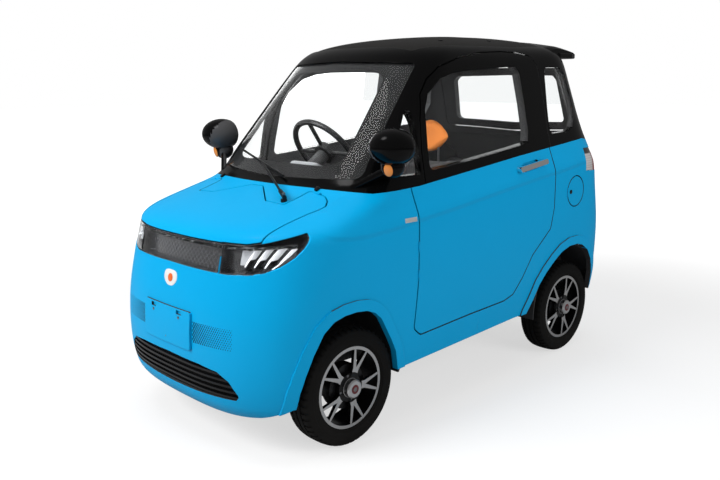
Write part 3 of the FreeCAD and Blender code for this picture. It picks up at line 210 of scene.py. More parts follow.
class Term:
    """A value over a surface, with plain arithmetic on it."""

    def __init__(self, graph: "Graph", socket: bpy.types.NodeSocket) -> None:
        """Keep a graph and one of its output sockets."""
        self.graph = graph
        self.socket = socket

    def op(self, operation: str, *others: "Value", clamp: bool = False) -> "Term":
        """Return what a math node makes of this value and others.

        Args:
            operation: Name of the node's operation.
            *others: The other values in order.
            clamp: Whether the result is held between 0 and 1.

        Returns:
            The result.
        """
        return self.graph.term("ShaderNodeMath", dict(enumerate((self, *others))),
                               operation=operation, use_clamp=clamp)

    __add__ = functools.partialmethod(op, "ADD")
    __sub__ = functools.partialmethod(op, "SUBTRACT")
    __mul__ = functools.partialmethod(op, "MULTIPLY")
    __truediv__ = functools.partialmethod(op, "DIVIDE")
    __pow__ = functools.partialmethod(op, "POWER")
    __gt__ = functools.partialmethod(op, "GREATER_THAN")
    __lt__ = functools.partialmethod(op, "LESS_THAN")
    __abs__ = functools.partialmethod(op, "ABSOLUTE")


Value = Union[float, Term, Sequence[float]]


class Graph:
    """Adds and links nodes in one node tree, which it empties first."""

    def __init__(self, tree: bpy.types.NodeTree) -> None:
        """Take a tree over."""
        self.tree = tree
        tree.nodes.clear()

    def node(self, kind: str, inputs: Optional[dict] = None, **settings: object) -> bpy.types.Node:
        """Add one node.

        Args:
            kind: Type name of the node.
            inputs: Terms, numbers or colours of three numbers, by input name or number.
            **settings: Properties of the node itself.

        Returns:
            The new node.
        """
        node = self.tree.nodes.new(kind)
        for key, value in settings.items():
            setattr(node, key, value)
        for key, value in (inputs or {}).items():
            socket = node.inputs[key]
            if isinstance(value, Term):
                self.tree.links.new(value.socket, socket)
            else:
                socket.default_value = (*value, 1.0) if socket.type == "RGBA" else value
        return node

    def term(self, kind: str, inputs: Optional[dict] = None, output: Union[int, str] = 0,
             **settings: object) -> Term:
        """Add one node and return one of its outputs."""
        return Term(self, self.node(kind, inputs, **settings).outputs[output])

    def group(self, tree: bpy.types.NodeTree, **inputs: Value) -> Term:
        """Add a shader group at the place on the piece and return its output."""
        return self.term("ShaderNodeGroup", {"Place": self.place, **inputs}, node_tree=tree)

    def ramp(self, value: Value, low: float, high: float) -> Term:
        """Return a soft step that is 0 at low and 1 at high."""
        return self.term("ShaderNodeMapRange", {"Value": value, "From Min": low, "From Max": high},
                         interpolation_type="SMOOTHSTEP")

    def blend(self, mask: Value, first: Value, second: Value) -> Term:
        """Return the first colour where the mask is 0 and the second where it is 1."""
        return self.term("ShaderNodeMix", {0: mask, 6: first, 7: second}, 2, data_type="RGBA")

    def noise(self, place: Term, scale: Value, detail: float, rough: float,
              bend: float = 0.0) -> Term:
        """Return fractal noise."""
        return self.term("ShaderNodeTexNoise", {"Vector": place, "Scale": scale, "Detail": detail,
                                                "Roughness": rough, "Distortion": bend})

    def split(self, vector: Term) -> list[Term]:
        """Return the three parts of a vector."""
        return [Term(self, out) for out in self.node("ShaderNodeSeparateXYZ", {0: vector}).outputs]

    @functools.cached_property
    def place(self) -> Term:
        """Return the place on the piece in the car's own frame."""
        return self.term("ShaderNodeTexCoord", output="Object")

    @functools.cached_property
    def axes(self) -> list[Term]:
        """Return X, Y and Z of that place."""
        return self.split(self.place)

    @functools.cached_property
    def facing(self) -> Term:
        """Return which way the flat face looks."""
        return self.term("ShaderNodeNewGeometry", output="True Normal")

    def inward(self) -> Term:
        """Return 1 on faces that look towards the middle of the cabin.

        Returns:
            The mask, 0 on all other faces.
        """
        away = self.term("ShaderNodeVectorMath", {0: self.place, 1: CABIN_MIDDLE},
                         operation="SUBTRACT")
        away = self.term("ShaderNodeVectorMath", {0: away, 1: CABIN_WEIGHTS}, operation="MULTIPLY")
        return self.term("ShaderNodeVectorMath", {0: self.facing, 1: away}, "Value",
                         operation="DOT_PRODUCT") < 0.0


# The middle of the cabin, how much each axis counts from there, and the colour of its walls.
CABIN_MIDDLE = (0.0, 0.15, 0.85)
CABIN_WEIGHTS = (1.0, 0.30, 0.45)
GREY_LINING: Triple = (0.060, 0.060, 0.062)

# Socket types of the shader groups. What isn't named here is a plain number.
SOCKET_KINDS = {"Place": "Vector", "Normal": "Vector", "Colour": "Color"}


def new_socket(tree: bpy.types.NodeTree, word: str, way: str) -> None:
    """Give a shader group one input or output socket."""
    kind = "NodeSocket" + SOCKET_KINDS.get(word, "Float")
    tree.interface.new_socket(name=word, in_out=way, socket_type=kind)


def open_group(name: str, *inputs: str) -> tuple[Graph, list[Term]]:
    """Start a shader group.

    Args:
        name: The group's name.
        *inputs: Names of its inputs.

    Returns:
        Its graph and a term for each input.
    """
    tree = bpy.data.node_groups.new(name, "ShaderNodeTree")
    for word in inputs:
        new_socket(tree, word, "INPUT")
    graph = Graph(tree)
    sockets = graph.node("NodeGroupInput").outputs
    return graph, [Term(graph, sockets[word]) for word in inputs]


def close_group(graph: Graph, word: str, result: Term) -> bpy.types.NodeTree:
    """Give a shader group its one output.

    Args:
        graph: The group's graph.
        word: Name of the output.
        result: What goes out.

    Returns:
        The group's tree.
    """
    new_socket(graph.tree, word, "OUTPUT")
    graph.node("NodeGroupOutput", {0: result})
    return graph.tree


@functools.lru_cache(maxsize=None)
def tone_group() -> bpy.types.NodeTree:
    """Return the group that lets a colour drift a little over the surface.

    Returns:
        The group. It gives a colour.
    """
    graph, given = open_group("tone_drift", "Place", "Colour", "Amount", "Scale")
    place, colour, amount, scale = given
    swing = (graph.noise(place, scale, 4.0, 0.6) - 0.5) * amount
    shade = graph.term("ShaderNodeHueSaturation", {"Value": swing + 1.0, "Color": colour})
    return close_group(graph, "Colour", shade)


@functools.lru_cache(maxsize=None)
def wear_group() -> bpy.types.NodeTree:
    """Return the group that varies roughness with fine smears.

    Returns:
        The group. It gives a roughness.
    """
    graph, (place, base, spread, scale) = open_group("smears", "Place", "Base", "Spread", "Scale")
    swing = (graph.noise(place, scale, 6.0, 0.65, 0.4) - 0.5) * spread
    return close_group(graph, "Value", swing.op("ADD", base, clamp=True))


@functools.lru_cache(maxsize=None)
def grain_group() -> bpy.types.NodeTree:
    """Return the group with rounded edges and a fine moulded grain.

    Returns:
        The group. It gives a normal.
    """
    graph, (place, scale, depth, edge) = open_group("grain", "Place", "Scale", "Depth", "Edge")
    soft = graph.term("ShaderNodeBevel", {"Radius": edge}, samples=4)
    bump = {"Strength": 1.0, "Distance": depth, "Height": graph.noise(place, scale, 3.0, 0.55),
            "Normal": soft}
    return close_group(graph, "Normal", graph.term("ShaderNodeBump", bump))


@functools.lru_cache(maxsize=None)
def dust_group() -> bpy.types.NodeTree:
    """Return the group that tells where road dust lies, most near the ground.

    Returns:
        The group. It gives a mask.
    """
    graph, (place, top, amount) = open_group("road_dust", "Place", "Top", "Amount")
    low = graph.split(place)[2].op("DIVIDE", top, clamp=True) * -1.0 + 1.0
    mask = low * graph.noise(place, 9.0, 7.0, 0.7) * amount
    return close_group(graph, "Mask", mask.op("MINIMUM", 1.0))


@dataclass(frozen=True)
class Finish:
    """A plain moulded, painted or cast surface."""

    name: str
    colour: Triple
    roughness: float = 0.4
    metallic: float = 0.0
    coat: float = 0.0  # Weight of a clear coat.
    spread: float = 0.12  # How far the roughness swings.
    grain: float = 900.0  # Grains to a metre.
    depth: float = 0.00008  # Height of the grain.
    edge: float = 0.002  # Radius of the rounded look of edges.
    drift: float = 0.08  # How far the tone swings.
    dust: float = 0.0  # Amount of road dust near the ground.
    dust_top: float = 0.6  # Height at which the dust ends.
    dust_colour: Triple = (0.19, 0.17, 0.145)
    shine: float = 0.5  # Strength of plain reflections.
    lining: Optional[Triple] = None  # Colour of the faces that look into the cabin.
    clear: float = 0.0  # Share of the light that goes through.
    index: float = 1.5  # Index of refraction.
    smear_scale: float = 7.0
    tone_scale: float = 5.0
    coat_roughness: float = 0.05

    @functools.lru_cache(maxsize=None)
    def material(self) -> bpy.types.Material:
        """Return the material, which is built when it is first asked for.

        Returns:
            The material, one for each finish.
        """
        material = bpy.data.materials.new(self.name)
        material.use_nodes = True
        graph = Graph(material.node_tree)
        roughness = graph.group(wear_group(), Base=self.roughness, Spread=self.spread,
                                Scale=self.smear_scale)
        shader = graph.term("ShaderNodeBsdfPrincipled", {
            "Base Color": self.paint(graph), "Metallic": self.metal(graph), "Roughness": roughness,
            "Normal": self.normal(graph), "Coat Weight": self.coat,
            "Coat Roughness": self.coat_roughness, "Specular IOR Level": self.shine,
            "Transmission Weight": self.clear, "IOR": self.index})
        graph.node("ShaderNodeOutputMaterial", {0: self.surface(graph, shader)})
        return material

    def paint(self, graph: Graph) -> Term:
        """Return the colour over the surface.

        Args:
            graph: The material's graph.

        Returns:
            The colour.
        """
        tone = graph.group(tone_group(), Colour=self.colour, Amount=self.drift,
                           Scale=self.tone_scale)
        if self.lining:
            tone = graph.blend(graph.inward(), tone, self.lining)
        if self.dust:
            mask = graph.group(dust_group(), Top=self.dust_top, Amount=self.dust)
            tone = graph.blend(mask, tone, self.dust_colour)
        return tone

    def normal(self, graph: Graph) -> Term:
        """Return the surface's small relief."""
        return graph.group(grain_group(), Scale=self.grain, Depth=self.depth, Edge=self.edge)

    def metal(self, graph: Graph) -> Value:
        """Return how far the surface is metal."""
        return self.metallic

    def surface(self, graph: Graph, shader: Term) -> Term:
        """Return what goes to the material's output."""
        return shader


# The crease along each side as places along the car and up, and the frame they are drawn in.
CREASE = ((-0.953, 0.885), (-0.916, 0.866), (-0.837, 0.850), (-0.743, 0.845), (-0.656, 0.848),
          (-0.542, 0.856), (-0.421, 0.869), (-0.227, 0.887), (0.133, 0.927), (0.462, 0.962),
          (0.737, 0.988), (0.897, 1.007))
CREASE_HALF = 1.3
CREASE_TOP = 1.65


@dataclass(frozen=True)
class BodyPaint(Finish):
    """Blue body paint with the crease along each side, and the nose's vents as dots of painted shade."""

    vents: bool = False  # Whether the nose shows its fields of small round vents, painted as dark dots of shade.
    vent_low: float = 0.447
    vent_high: float = 0.529
    vent_inner: float = 0.172  # Where the vents start beside the plate.
    vent_outer: float = 0.372  # Where they fade out.
    vent_back: float = -0.8  # Vents lie ahead of this.
    column: float = 0.0104  # Distance between columns of vents.
    row: float = 0.0086  # Half the distance between rows.
    levels: Pair = (-0.10, 0.70)  # Size of the first hole and how fast they shrink.
    # Painted shade: the blue-tinted near-black that stands for the shade inside the vents' holes.
    vent_colour: Triple = (0.002, 0.006, 0.012)
    crease_depth: float = 0.006
    crease_step: Pair = (-0.014, 0.010)
    crease_start: Pair = (-0.96, -0.82)  # Along the car.
    crease_inner: Pair = (0.44, 0.50)  # Across the car.

    def paint(self, graph: Graph) -> Term:
        """Return the blue with painted shade inside the vents, which are smaller further out.

        Args:
            graph: The material's graph.

        Returns:
            The colour.
        """
        tone = super().paint(graph)
        if not self.vents:
            return tone
        x, y, z = graph.axes
        across = abs(x)
        wave = (across * (WHOLE_TURN / self.column)).op("SINE")
        wave = wave * (z * (math.pi / self.row)).op("SINE")
        width = self.vent_outer - self.vent_inner
        share = (across - self.vent_inner).op("DIVIDE", width, clamp=True)
        holes = wave > share * self.levels[1] + self.levels[0]
        region = ((z > self.vent_low) * (z < self.vent_high) * (y < self.vent_back)
                  * (across > self.vent_inner) * (across < self.vent_outer))
        # The vents are not cut. Painted shade fills each dot where a hole would be.
        return graph.blend(holes * region, tone, self.vent_colour)

    def normal(self, graph: Graph) -> Term:
        """Return the paint's fine orange peel with the crease along the side.

        Args:
            graph: The material's graph.

        Returns:
            The normal.
        """
        x, y, z = graph.axes
        share = (y + CREASE_HALF) / (2 * CREASE_HALF)
        line = graph.node("ShaderNodeFloatCurve", {"Value": share})
        points = line.mapping.curves[0].points
        ends = [((y0 + CREASE_HALF) / (2 * CREASE_HALF), z0 / CREASE_TOP) for y0, z0 in CREASE]
        points[0].location = (0.0, ends[0][1])
        points[1].location = (1.0, ends[-1][1])
        for spot in ends:
            points.new(*spot)
        line.mapping.update()
        step = graph.ramp(z - Term(graph, line.outputs[0]) * CREASE_TOP, *self.crease_step)
        reach = graph.ramp(y, *self.crease_start) * graph.ramp(abs(x), *self.crease_inner)
        return graph.term("ShaderNodeBump", {"Strength": 1.0, "Distance": self.crease_depth,
                                             "Normal": super().normal(graph),
                                             "Height": step * reach})


@dataclass(frozen=True)
class Glass(Finish):
    """Clear or lightly tinted glass, whose shadow is as clear as itself."""

    clear: float = 1.0
    index: float = 1.12

    def surface(self, graph: Graph, shader: Term) -> Term:
        """Let light through to what lies behind.

        Args:
            graph: The material's graph.
            shader: The glass itself.

        Returns:
            The glass with a clear shadow.
        """
        shadow = graph.term("ShaderNodeLightPath", output="Is Shadow Ray")
        clear = graph.term("ShaderNodeBsdfTransparent", {"Color": self.colour})
        return graph.term("ShaderNodeMixShader", {0: shadow, 1: shader, 2: clear})


@dataclass(frozen=True)
class RimFinish(Finish):
    """Black wheel with bright turned faces."""

    bright: Triple = (0.66, 0.66, 0.665)
    strength: float = 0.85  # How bright the turned faces are beside the cap.
    face: float = 0.5625  # How far out the turned faces lie.
    flat: float = 0.9  # How squarely they look outward.
    cap: float = 0.0392  # Radius of the bright hub cap.
    root: float = 0.0625  # Radius inside which the spokes are black.

    def metal(self, graph: Graph) -> Term:
        """Return how bright the turned faces, the outer ring and the hub cap are.

        Args:
            graph: The material's graph.

        Returns:
            A mask.
        """
        x, y, z = graph.axes
        outer = abs(x) > self.face
        outward = abs(graph.split(graph.facing)[0]) > self.flat
        radius = ((abs(y) - AXLE_Y) ** 2.0 + (z - AXLE_Z) ** 2.0).op("SQRT")
        spokes = outward * outer * (radius > self.root)
        return (spokes * self.strength).op("MAXIMUM", (radius < self.cap) * outer)

    def paint(self, graph: Graph) -> Term:
        """Return black with bright faces."""
        return graph.blend(self.metal(graph), super().paint(graph), self.bright)


@dataclass(frozen=True)
class LampShell(Finish):
    """Dark lamp housing with bright slanted blades and a crossed pattern in the middle."""

    first: float = 0.369  # Where the first blade stands at its foot.
    pitch: float = 0.034
    blades: float = 3.5
    width: float = 0.008
    lean: float = 0.032  # How far a blade leans over its height.
    low: float = 0.758
    high: float = 0.822
    over: float = 0.004  # How far the blades reach past the slanted height.
    blade_colour: Triple = (0.82, 0.83, 0.85)
    cell_start: float = 0.335  # Where the pale cell before the blades starts.
    cell_colour: Triple = (0.5, 0.51, 0.53)
    cell_strength: float = 0.55
    middle: float = 0.275  # Half width of the field with the crossed pattern.
    lattice: float = 130.0
    lattice_line: Pair = (0.10, 0.02)
    lattice_colour: Triple = (0.16, 0.17, 0.19)
    lattice_strength: float = 0.35

    def paint(self, graph: Graph) -> Term:
        """Return the dark shell with its bright parts.

        Args:
            graph: The material's graph.

        Returns:
            The colour.
        """
        x, _, z = graph.axes
        across = abs(x)
        slant = (z - self.low) * (self.lean / (self.high - self.low))
        along = across - slant - self.first
        tall = (z > self.low) * (z < self.high + self.over)
        blade = ((along.op("FLOORED_MODULO", self.pitch) < self.width) * (along > 0.0)
                 * (along < self.blades * self.pitch) * tall)
        cell = (across > self.cell_start) * (along < 0.0) * tall
        cross = ((across + z) * self.lattice).op("SINE")
        cross = cross * ((across - z) * self.lattice).op("SINE")
        middle = (across < self.middle) * graph.ramp(abs(cross), *self.lattice_line)
        colour = graph.blend(middle * self.lattice_strength, super().paint(graph),
                             self.lattice_colour)
        colour = graph.blend(cell * self.cell_strength, colour, self.cell_colour)
        return graph.blend(blade, colour, self.blade_colour)


@dataclass(frozen=True)
class TailLens(Finish):
    """Red tail lens with a ribbed silvery field at its front end and a dark rim."""

    foot: Pair = (0.950, 0.956)
    head: Pair = (1.052, 1.046)
    field_end: Pair = (0.985, 0.989)  # How far back the silvery field reaches.
    ribs: float = 520.0
    rib_step: Pair = (-0.4, 0.4)
    rib_strength: float = 0.35
    silver: tuple[Triple, Triple] = ((0.52, 0.50, 0.50), (0.80, 0.80, 0.80))
    rim_colour: Triple = (0.010, 0.010, 0.011)

    def paint(self, graph: Graph) -> Term:
        """Return the colour of the lens and of its back, which shows in the cabin.

        Args:
            graph: The material's graph.

        Returns:
            The colour.
        """
        _, y, z = graph.axes
        height = graph.ramp(z, *self.foot) * graph.ramp(z, *self.head)
        ribs = graph.ramp((z * self.ribs).op("SINE"), *self.rib_step)
        silver = graph.blend(ribs * self.rib_strength, *self.silver)
        body = graph.blend(graph.ramp(y, *self.field_end), silver, super().paint(graph))
        lens = graph.blend(height, self.rim_colour, body)
        return graph.blend(graph.inward(), lens, GREY_LINING)


@dataclass(frozen=True)
class WovenFinish(Finish):
    """Cloth or grained leather for the soft pieces."""

    weave: float = 0.0  # Threads to a metre, or 0 for leather pores.
    relief: float = 0.7

    def normal(self, graph: Graph) -> Term:
        """Return the weave or the pores.

        Args:
            graph: The material's graph.

        Returns:
            The normal.
        """
        if self.weave:
            x, y, z = graph.axes
            height = (x * self.weave).op("SINE") * ((y + z) * self.weave).op("SINE")
        else:
            height = graph.term("ShaderNodeTexVoronoi", {"Vector": graph.place,
                                                         "Scale": self.grain}, "Distance")
        return graph.term("ShaderNodeBump", {"Strength": self.relief, "Distance": self.depth,
                                             "Height": height})


BODY_BLUE = BodyPaint("body_blue", (0.0, 0.375, 0.740), 0.46, coat=0.05, spread=0.08, grain=160.0,
                      depth=0.00012, edge=0.004, drift=0.05, shine=0.16, lining=GREY_LINING)
NOSE_BLUE = replace(BODY_BLUE, name="nose_blue", vents=True)
CAB_BLACK = Finish("cab_black", (0.0016, 0.0016, 0.0017), 0.16, coat=0.04, spread=0.08, grain=120.0,
                   edge=0.003, shine=0.13, lining=GREY_LINING)
BORDER_BLACK = Finish("border_black", (0.006, 0.006, 0.0065), 0.5, depth=0.00002, shine=0.1)
ROOF_BLACK = Finish("roof_black", (0.009, 0.0085, 0.008), 0.55, spread=0.1, grain=1400.0,
                    depth=0.00012, shine=0.3)
TRIM_BLACK = Finish("trim_black", (0.004, 0.004, 0.0045), 0.32, spread=0.15, grain=1200.0,
                    shine=0.35)
CABIN_GLASS = Glass("cabin_glass", (0.965, 0.975, 0.975), 0.0, spread=0.0, depth=0.0, edge=0.0,
                    drift=0.01, shine=0.14)
LAMP_GLASS = Glass("lamp_glass", (0.95, 0.96, 0.97), 0.02, spread=0.01, depth=0.0, edge=0.0,
                   drift=0.01)
LAMP_DARK = LampShell("lamp_dark", (0.006, 0.006, 0.007), 0.25, spread=0.1, depth=0.00002)
LIGHT_STRIP = Finish("light_strip", (0.30, 0.31, 0.32), 0.35, depth=0.00002)
TAIL_RED = Finish("tail_red", (0.30, 0.008, 0.008), 0.12, coat=0.4, spread=0.05, depth=0.00004)
TAIL_LAMP = TailLens("tail_lens", (0.33, 0.010, 0.010), 0.12, coat=0.4, spread=0.05, depth=0.00004)
RIM = RimFinish("rim_two_tone", (0.003, 0.003, 0.0035), 0.3, grain=700.0, depth=0.00004,
                edge=0.0015, shine=0.3)
RUBBER = Finish("tyre_rubber", (0.0035, 0.0035, 0.0035), 0.75, spread=0.15, grain=600.0,
                depth=0.0002, edge=0.0, dust=0.05, dust_top=0.5, shine=0.2)
CHROME = Finish("chrome", (0.86, 0.86, 0.87), 0.14, 1.0, spread=0.08, depth=0.00002)
STEEL = Finish("steel", (0.30, 0.30, 0.31), 0.3, 1.0, spread=0.15, depth=0.00004)
FRAME_BLACK = Finish("frame_black", (0.012, 0.012, 0.013), 0.5, dust=0.3, dust_top=0.8,
                     depth=0.0002, grain=300.0)
CAST = Finish("cast_metal", (0.05, 0.05, 0.052), 0.6, 0.6, depth=0.0005, grain=400.0, dust=0.3)
MOTOR = Finish("motor_alloy", (0.25, 0.25, 0.26), 0.4, 0.9, depth=0.0002, grain=500.0, dust=0.2)
INSIDE = Finish("inside_plastic", (0.030, 0.030, 0.032), 0.6, grain=1300.0, depth=0.00018)
SEAT_LEATHER = WovenFinish("seat_leather", (0.030, 0.030, 0.033), 0.45, grain=420.0, depth=0.0004)
ORANGE_CLOTH = WovenFinish("orange_cloth", (0.90, 0.27, 0.05), 0.7, weave=2600.0, depth=0.0005,
                           drift=0.1)
BADGE_WHITE = Finish("badge_white", (0.80, 0.80, 0.79), 0.25, coat=0.4, depth=0.00002)
BADGE_ORANGE = Finish("badge_orange", (0.80, 0.14, 0.02), 0.3, coat=0.4, depth=0.00002)
DARK_RED = Finish("dark_red", (0.10, 0.006, 0.008), 0.3, coat=0.4, depth=0.00002)
AMBER = Finish("amber_lens", (0.80, 0.27, 0.05), 0.2, coat=0.3, depth=0.00006)
SILVER = Finish("silver_plate", (0.80, 0.81, 0.82), 0.30, 0.6, depth=0.00002)
DIAL_GREY = Finish("dial_grey", (0.20, 0.205, 0.215), depth=0.0001)

SLOT_FINISHES = {
    "body_blue": BODY_BLUE, "cab_black": CAB_BLACK,
    "roof_black": ROOF_BLACK, "trim_black": TRIM_BLACK,
    "glass": CABIN_GLASS, "lamp_clear": LAMP_GLASS, "lamp": LAMP_DARK, "tail_red": TAIL_LAMP,
    "rim_dark": RIM, "tyre": RUBBER, "steel": CHROME, "frame_black": FRAME_BLACK, "cast": CAST,
    "motor": MOTOR, "inside": INSIDE, "seat": SEAT_LEATHER, "headrest": ORANGE_CLOTH}


def dress_packed_pieces() -> None:
    """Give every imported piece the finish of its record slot."""
    for part in frame["record"]["subparts"]:
        finish = NOSE_BLUE if part["node"] == "front_body" else SLOT_FINISHES[part["material_slot"]]
        mesh = frame["nodes"][part["node"]].data
        mesh.materials.clear()
        mesh.materials.append(finish.material())
    LOG.info("dressed %d packed pieces", len(frame["nodes"]))


class Ground:
    """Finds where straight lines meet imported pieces."""

    def __init__(self, *nodes: str) -> None:
        """Gather the faces of the named pieces.

        Args:
            *nodes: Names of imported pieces.
        """
        corners, faces = [], []
        for name in nodes:
            mesh = frame["nodes"][name].data
            start = len(corners)
            corners += [v.co.copy() for v in mesh.vertices]
            faces += [tuple(start + i for i in p.vertices) for p in mesh.polygons]
        self.tree = BVHTree.FromPolygons(corners, faces)

    def hit(self, start: Sequence[float], way: Sequence[float]) -> tuple[Vector, Vector]:
        """Return the first place that a line meets and the way it faces.

        Args:
            start: Where the line starts.
            way: Which way it goes.

        Returns:
            The place and its outward normal.

        Raises:
            ValueError: If the line meets nothing.
        """
        place, normal, _, _ = self.tree.ray_cast(Vector(start), Vector(way).normalized())
        if place is None:
            raise ValueError(f"no surface from {tuple(start)} along {tuple(way)}")
        return place, -normal if normal.dot(Vector(way)) > 0 else normal


def to_data(name: str, mesh: Mesh) -> bpy.types.Mesh:
    """Turn a bmesh into mesh data and free it.

    Args:
        name: The data's name.
        mesh: The bmesh.

    Returns:
        The mesh data.
    """
    data = bpy.data.meshes.new(name)
    mesh.to_mesh(data)
    mesh.free()
    return data


def put(name: str, data: bpy.types.ID) -> bpy.types.Object:
    """Put a new object with this data into the scene.

    Args:
        name: The object's name.
        data: Its mesh, curve, light or camera data.

    Returns:
        The object.
    """
    made = bpy.data.objects.new(name, data)
    bpy.context.scene.collection.objects.link(made)
    return made


def finish_piece(name: str, mesh: Mesh, slot: str, finish: Finish, body: str = "car",
                 smooth: bool = True, sharp: float = 35.0) -> bpy.types.Object:
    """Turn a bmesh into a finished piece that rides on a body.

    Args:
        name: The piece's name.
        mesh: Its form in the car's frame.
        slot: The record's material slot.
        finish: Its finish.
        body: The body that carries it.
        smooth: Whether its faces shade smoothly.
        sharp: Edges steeper than this many degrees stay sharp.

    Returns:
        The new object.
    """
    bmesh.ops.recalc_face_normals(mesh, faces=mesh.faces)
    for face in mesh.faces:
        face.smooth = smooth
    for edge in mesh.edges:
        if len(edge.link_faces) == 2 and edge.calc_face_angle() > math.radians(sharp):
            edge.smooth = False
    data = to_data(name, mesh)
    data.materials.append(finish.material())
    piece = put(name, data)
    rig.ride(piece, body)
    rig.slot(piece, slot)
    LOG.info("%s: %d faces", name, len(data.polygons))
    return piece


def facing(place: Vector, normal: Vector, up: Sequence[float] = (0.0, 0.0, 1.0)) -> Matrix:
    """Return the turn and move that lay a flat form on a surface, its Z along the normal.

    Args:
        place: Where it lies.
        normal: Which way the surface faces.
        up: Which way the form's Y points as far as it can.

    Returns:
        The matrix.
    """
    z = normal.normalized()
    x = Vector(up).cross(z).normalized()
    turn = Matrix((x, z.cross(x), z)).transposed().to_4x4()
    return Matrix.Translation(place) @ turn


def edges_of(verts: Verts) -> set[bmesh.types.BMEdge]:
    """Return every edge at these vertices."""
    return {edge for vert in verts for edge in vert.link_edges}


def soften(mesh: Mesh, verts: Verts, edges: Iterable[bmesh.types.BMEdge], radius: float,
           segments: int) -> Verts:
    """Round some edges of a form.

    Args:
        mesh: The mesh it is in.
        verts: The form's vertices.
        edges: The edges to round.
        radius: Size of the rounding.
        segments: Steps in it.

    Returns:
        The form's vertices after that.
    """
    made = bmesh.ops.bevel(mesh, geom=list(edges), offset=radius, segments=segments, profile=0.5,
                           affect="EDGES", material=-1)
    return list({v for f in made["faces"] for v in f.verts} | {v for v in verts if v.is_valid})


def thicken(mesh: Mesh, depth: float) -> Verts:
    """Pull a flat face up into a plate.

    Args:
        mesh: The mesh with the flat face.
        depth: How thick the plate is.

    Returns:
        The vertices of its top.
    """
    made = bmesh.ops.extrude_face_region(mesh, geom=mesh.faces[:])["geom"]
    top = [part for part in made if isinstance(part, bmesh.types.BMVert)]
    bmesh.ops.translate(mesh, vec=(0, 0, depth), verts=top)
    return top


def soft_box(mesh: Mesh, size: Sequence[float], matrix: Matrix, radius: float,
             segments: int = 3) -> None:
    """Add a block with rounded edges.

    Args:
        mesh: The mesh it goes into.
        size: Its three sizes.
        matrix: Its place.
        radius: Radius of its edges.
        segments: Steps in each rounding.
    """
    verts = bmesh.ops.create_cube(mesh, size=1.0)["verts"]
    bmesh.ops.scale(mesh, vec=size, verts=verts)
    verts = soften(mesh, verts, edges_of(verts), radius, segments)
    bmesh.ops.transform(mesh, matrix=matrix, verts=verts)


BUTTON_EDGE = 0.0006


def disc(mesh: Mesh, radius: float, depth: float, matrix: Matrix, edge: float = BUTTON_EDGE,
         steps: int = 32) -> None:
    """Add a flat round button with a softened rim.

    Args:
        mesh: The mesh it goes into.
        radius: Its radius.
        depth: Its thickness.
        matrix: Its place, with the button's back at the origin.
        edge: Size of the softened rim.
        steps: Sides of the circle.
    """
    verts = bmesh.ops.create_cone(mesh, cap_ends=True, segments=steps, radius1=radius,
                                  radius2=radius, depth=depth)["verts"]
    rim = [e for e in edges_of(verts) if all(v.co.z > 0 for v in e.verts)]
    verts = soften(mesh, verts, rim, edge, 2)
    bmesh.ops.translate(mesh, vec=(0, 0, depth / 2), verts=verts)
    bmesh.ops.transform(mesh, matrix=matrix, verts=verts)


# The tyre's section from the rim outward. The bead is measured from the rim's face, the wall from
# the tyre's outer wall, and the crown from the tyre's middle and down from its full radius.
GROOVE = 0.005
TYRE_BEAD = ((-0.0065, 0.1612), (-0.0063, 0.1665), (0.001, 0.1690), (0.0055, 0.1745),
             (0.0058, 0.1775), (0.0078, 0.1785))
TYRE_WALL = ((-0.0005, 0.1900), (0.0, 0.2000), (-0.0006, 0.2035), (0.0, 0.2045), (-0.0010, 0.2130),
             (-0.0034, 0.2200), (-0.0036, 0.2225), (-0.0065, 0.2290), (-0.0125, 0.2355),
             (-0.0190, 0.2380))
TYRE_CROWN = ((0.0280, 0.0008), (0.0276, GROOVE), (0.0224, GROOVE), (0.0220, 0.0004),
              (0.0050, 0.0), (0.0046, GROOVE))


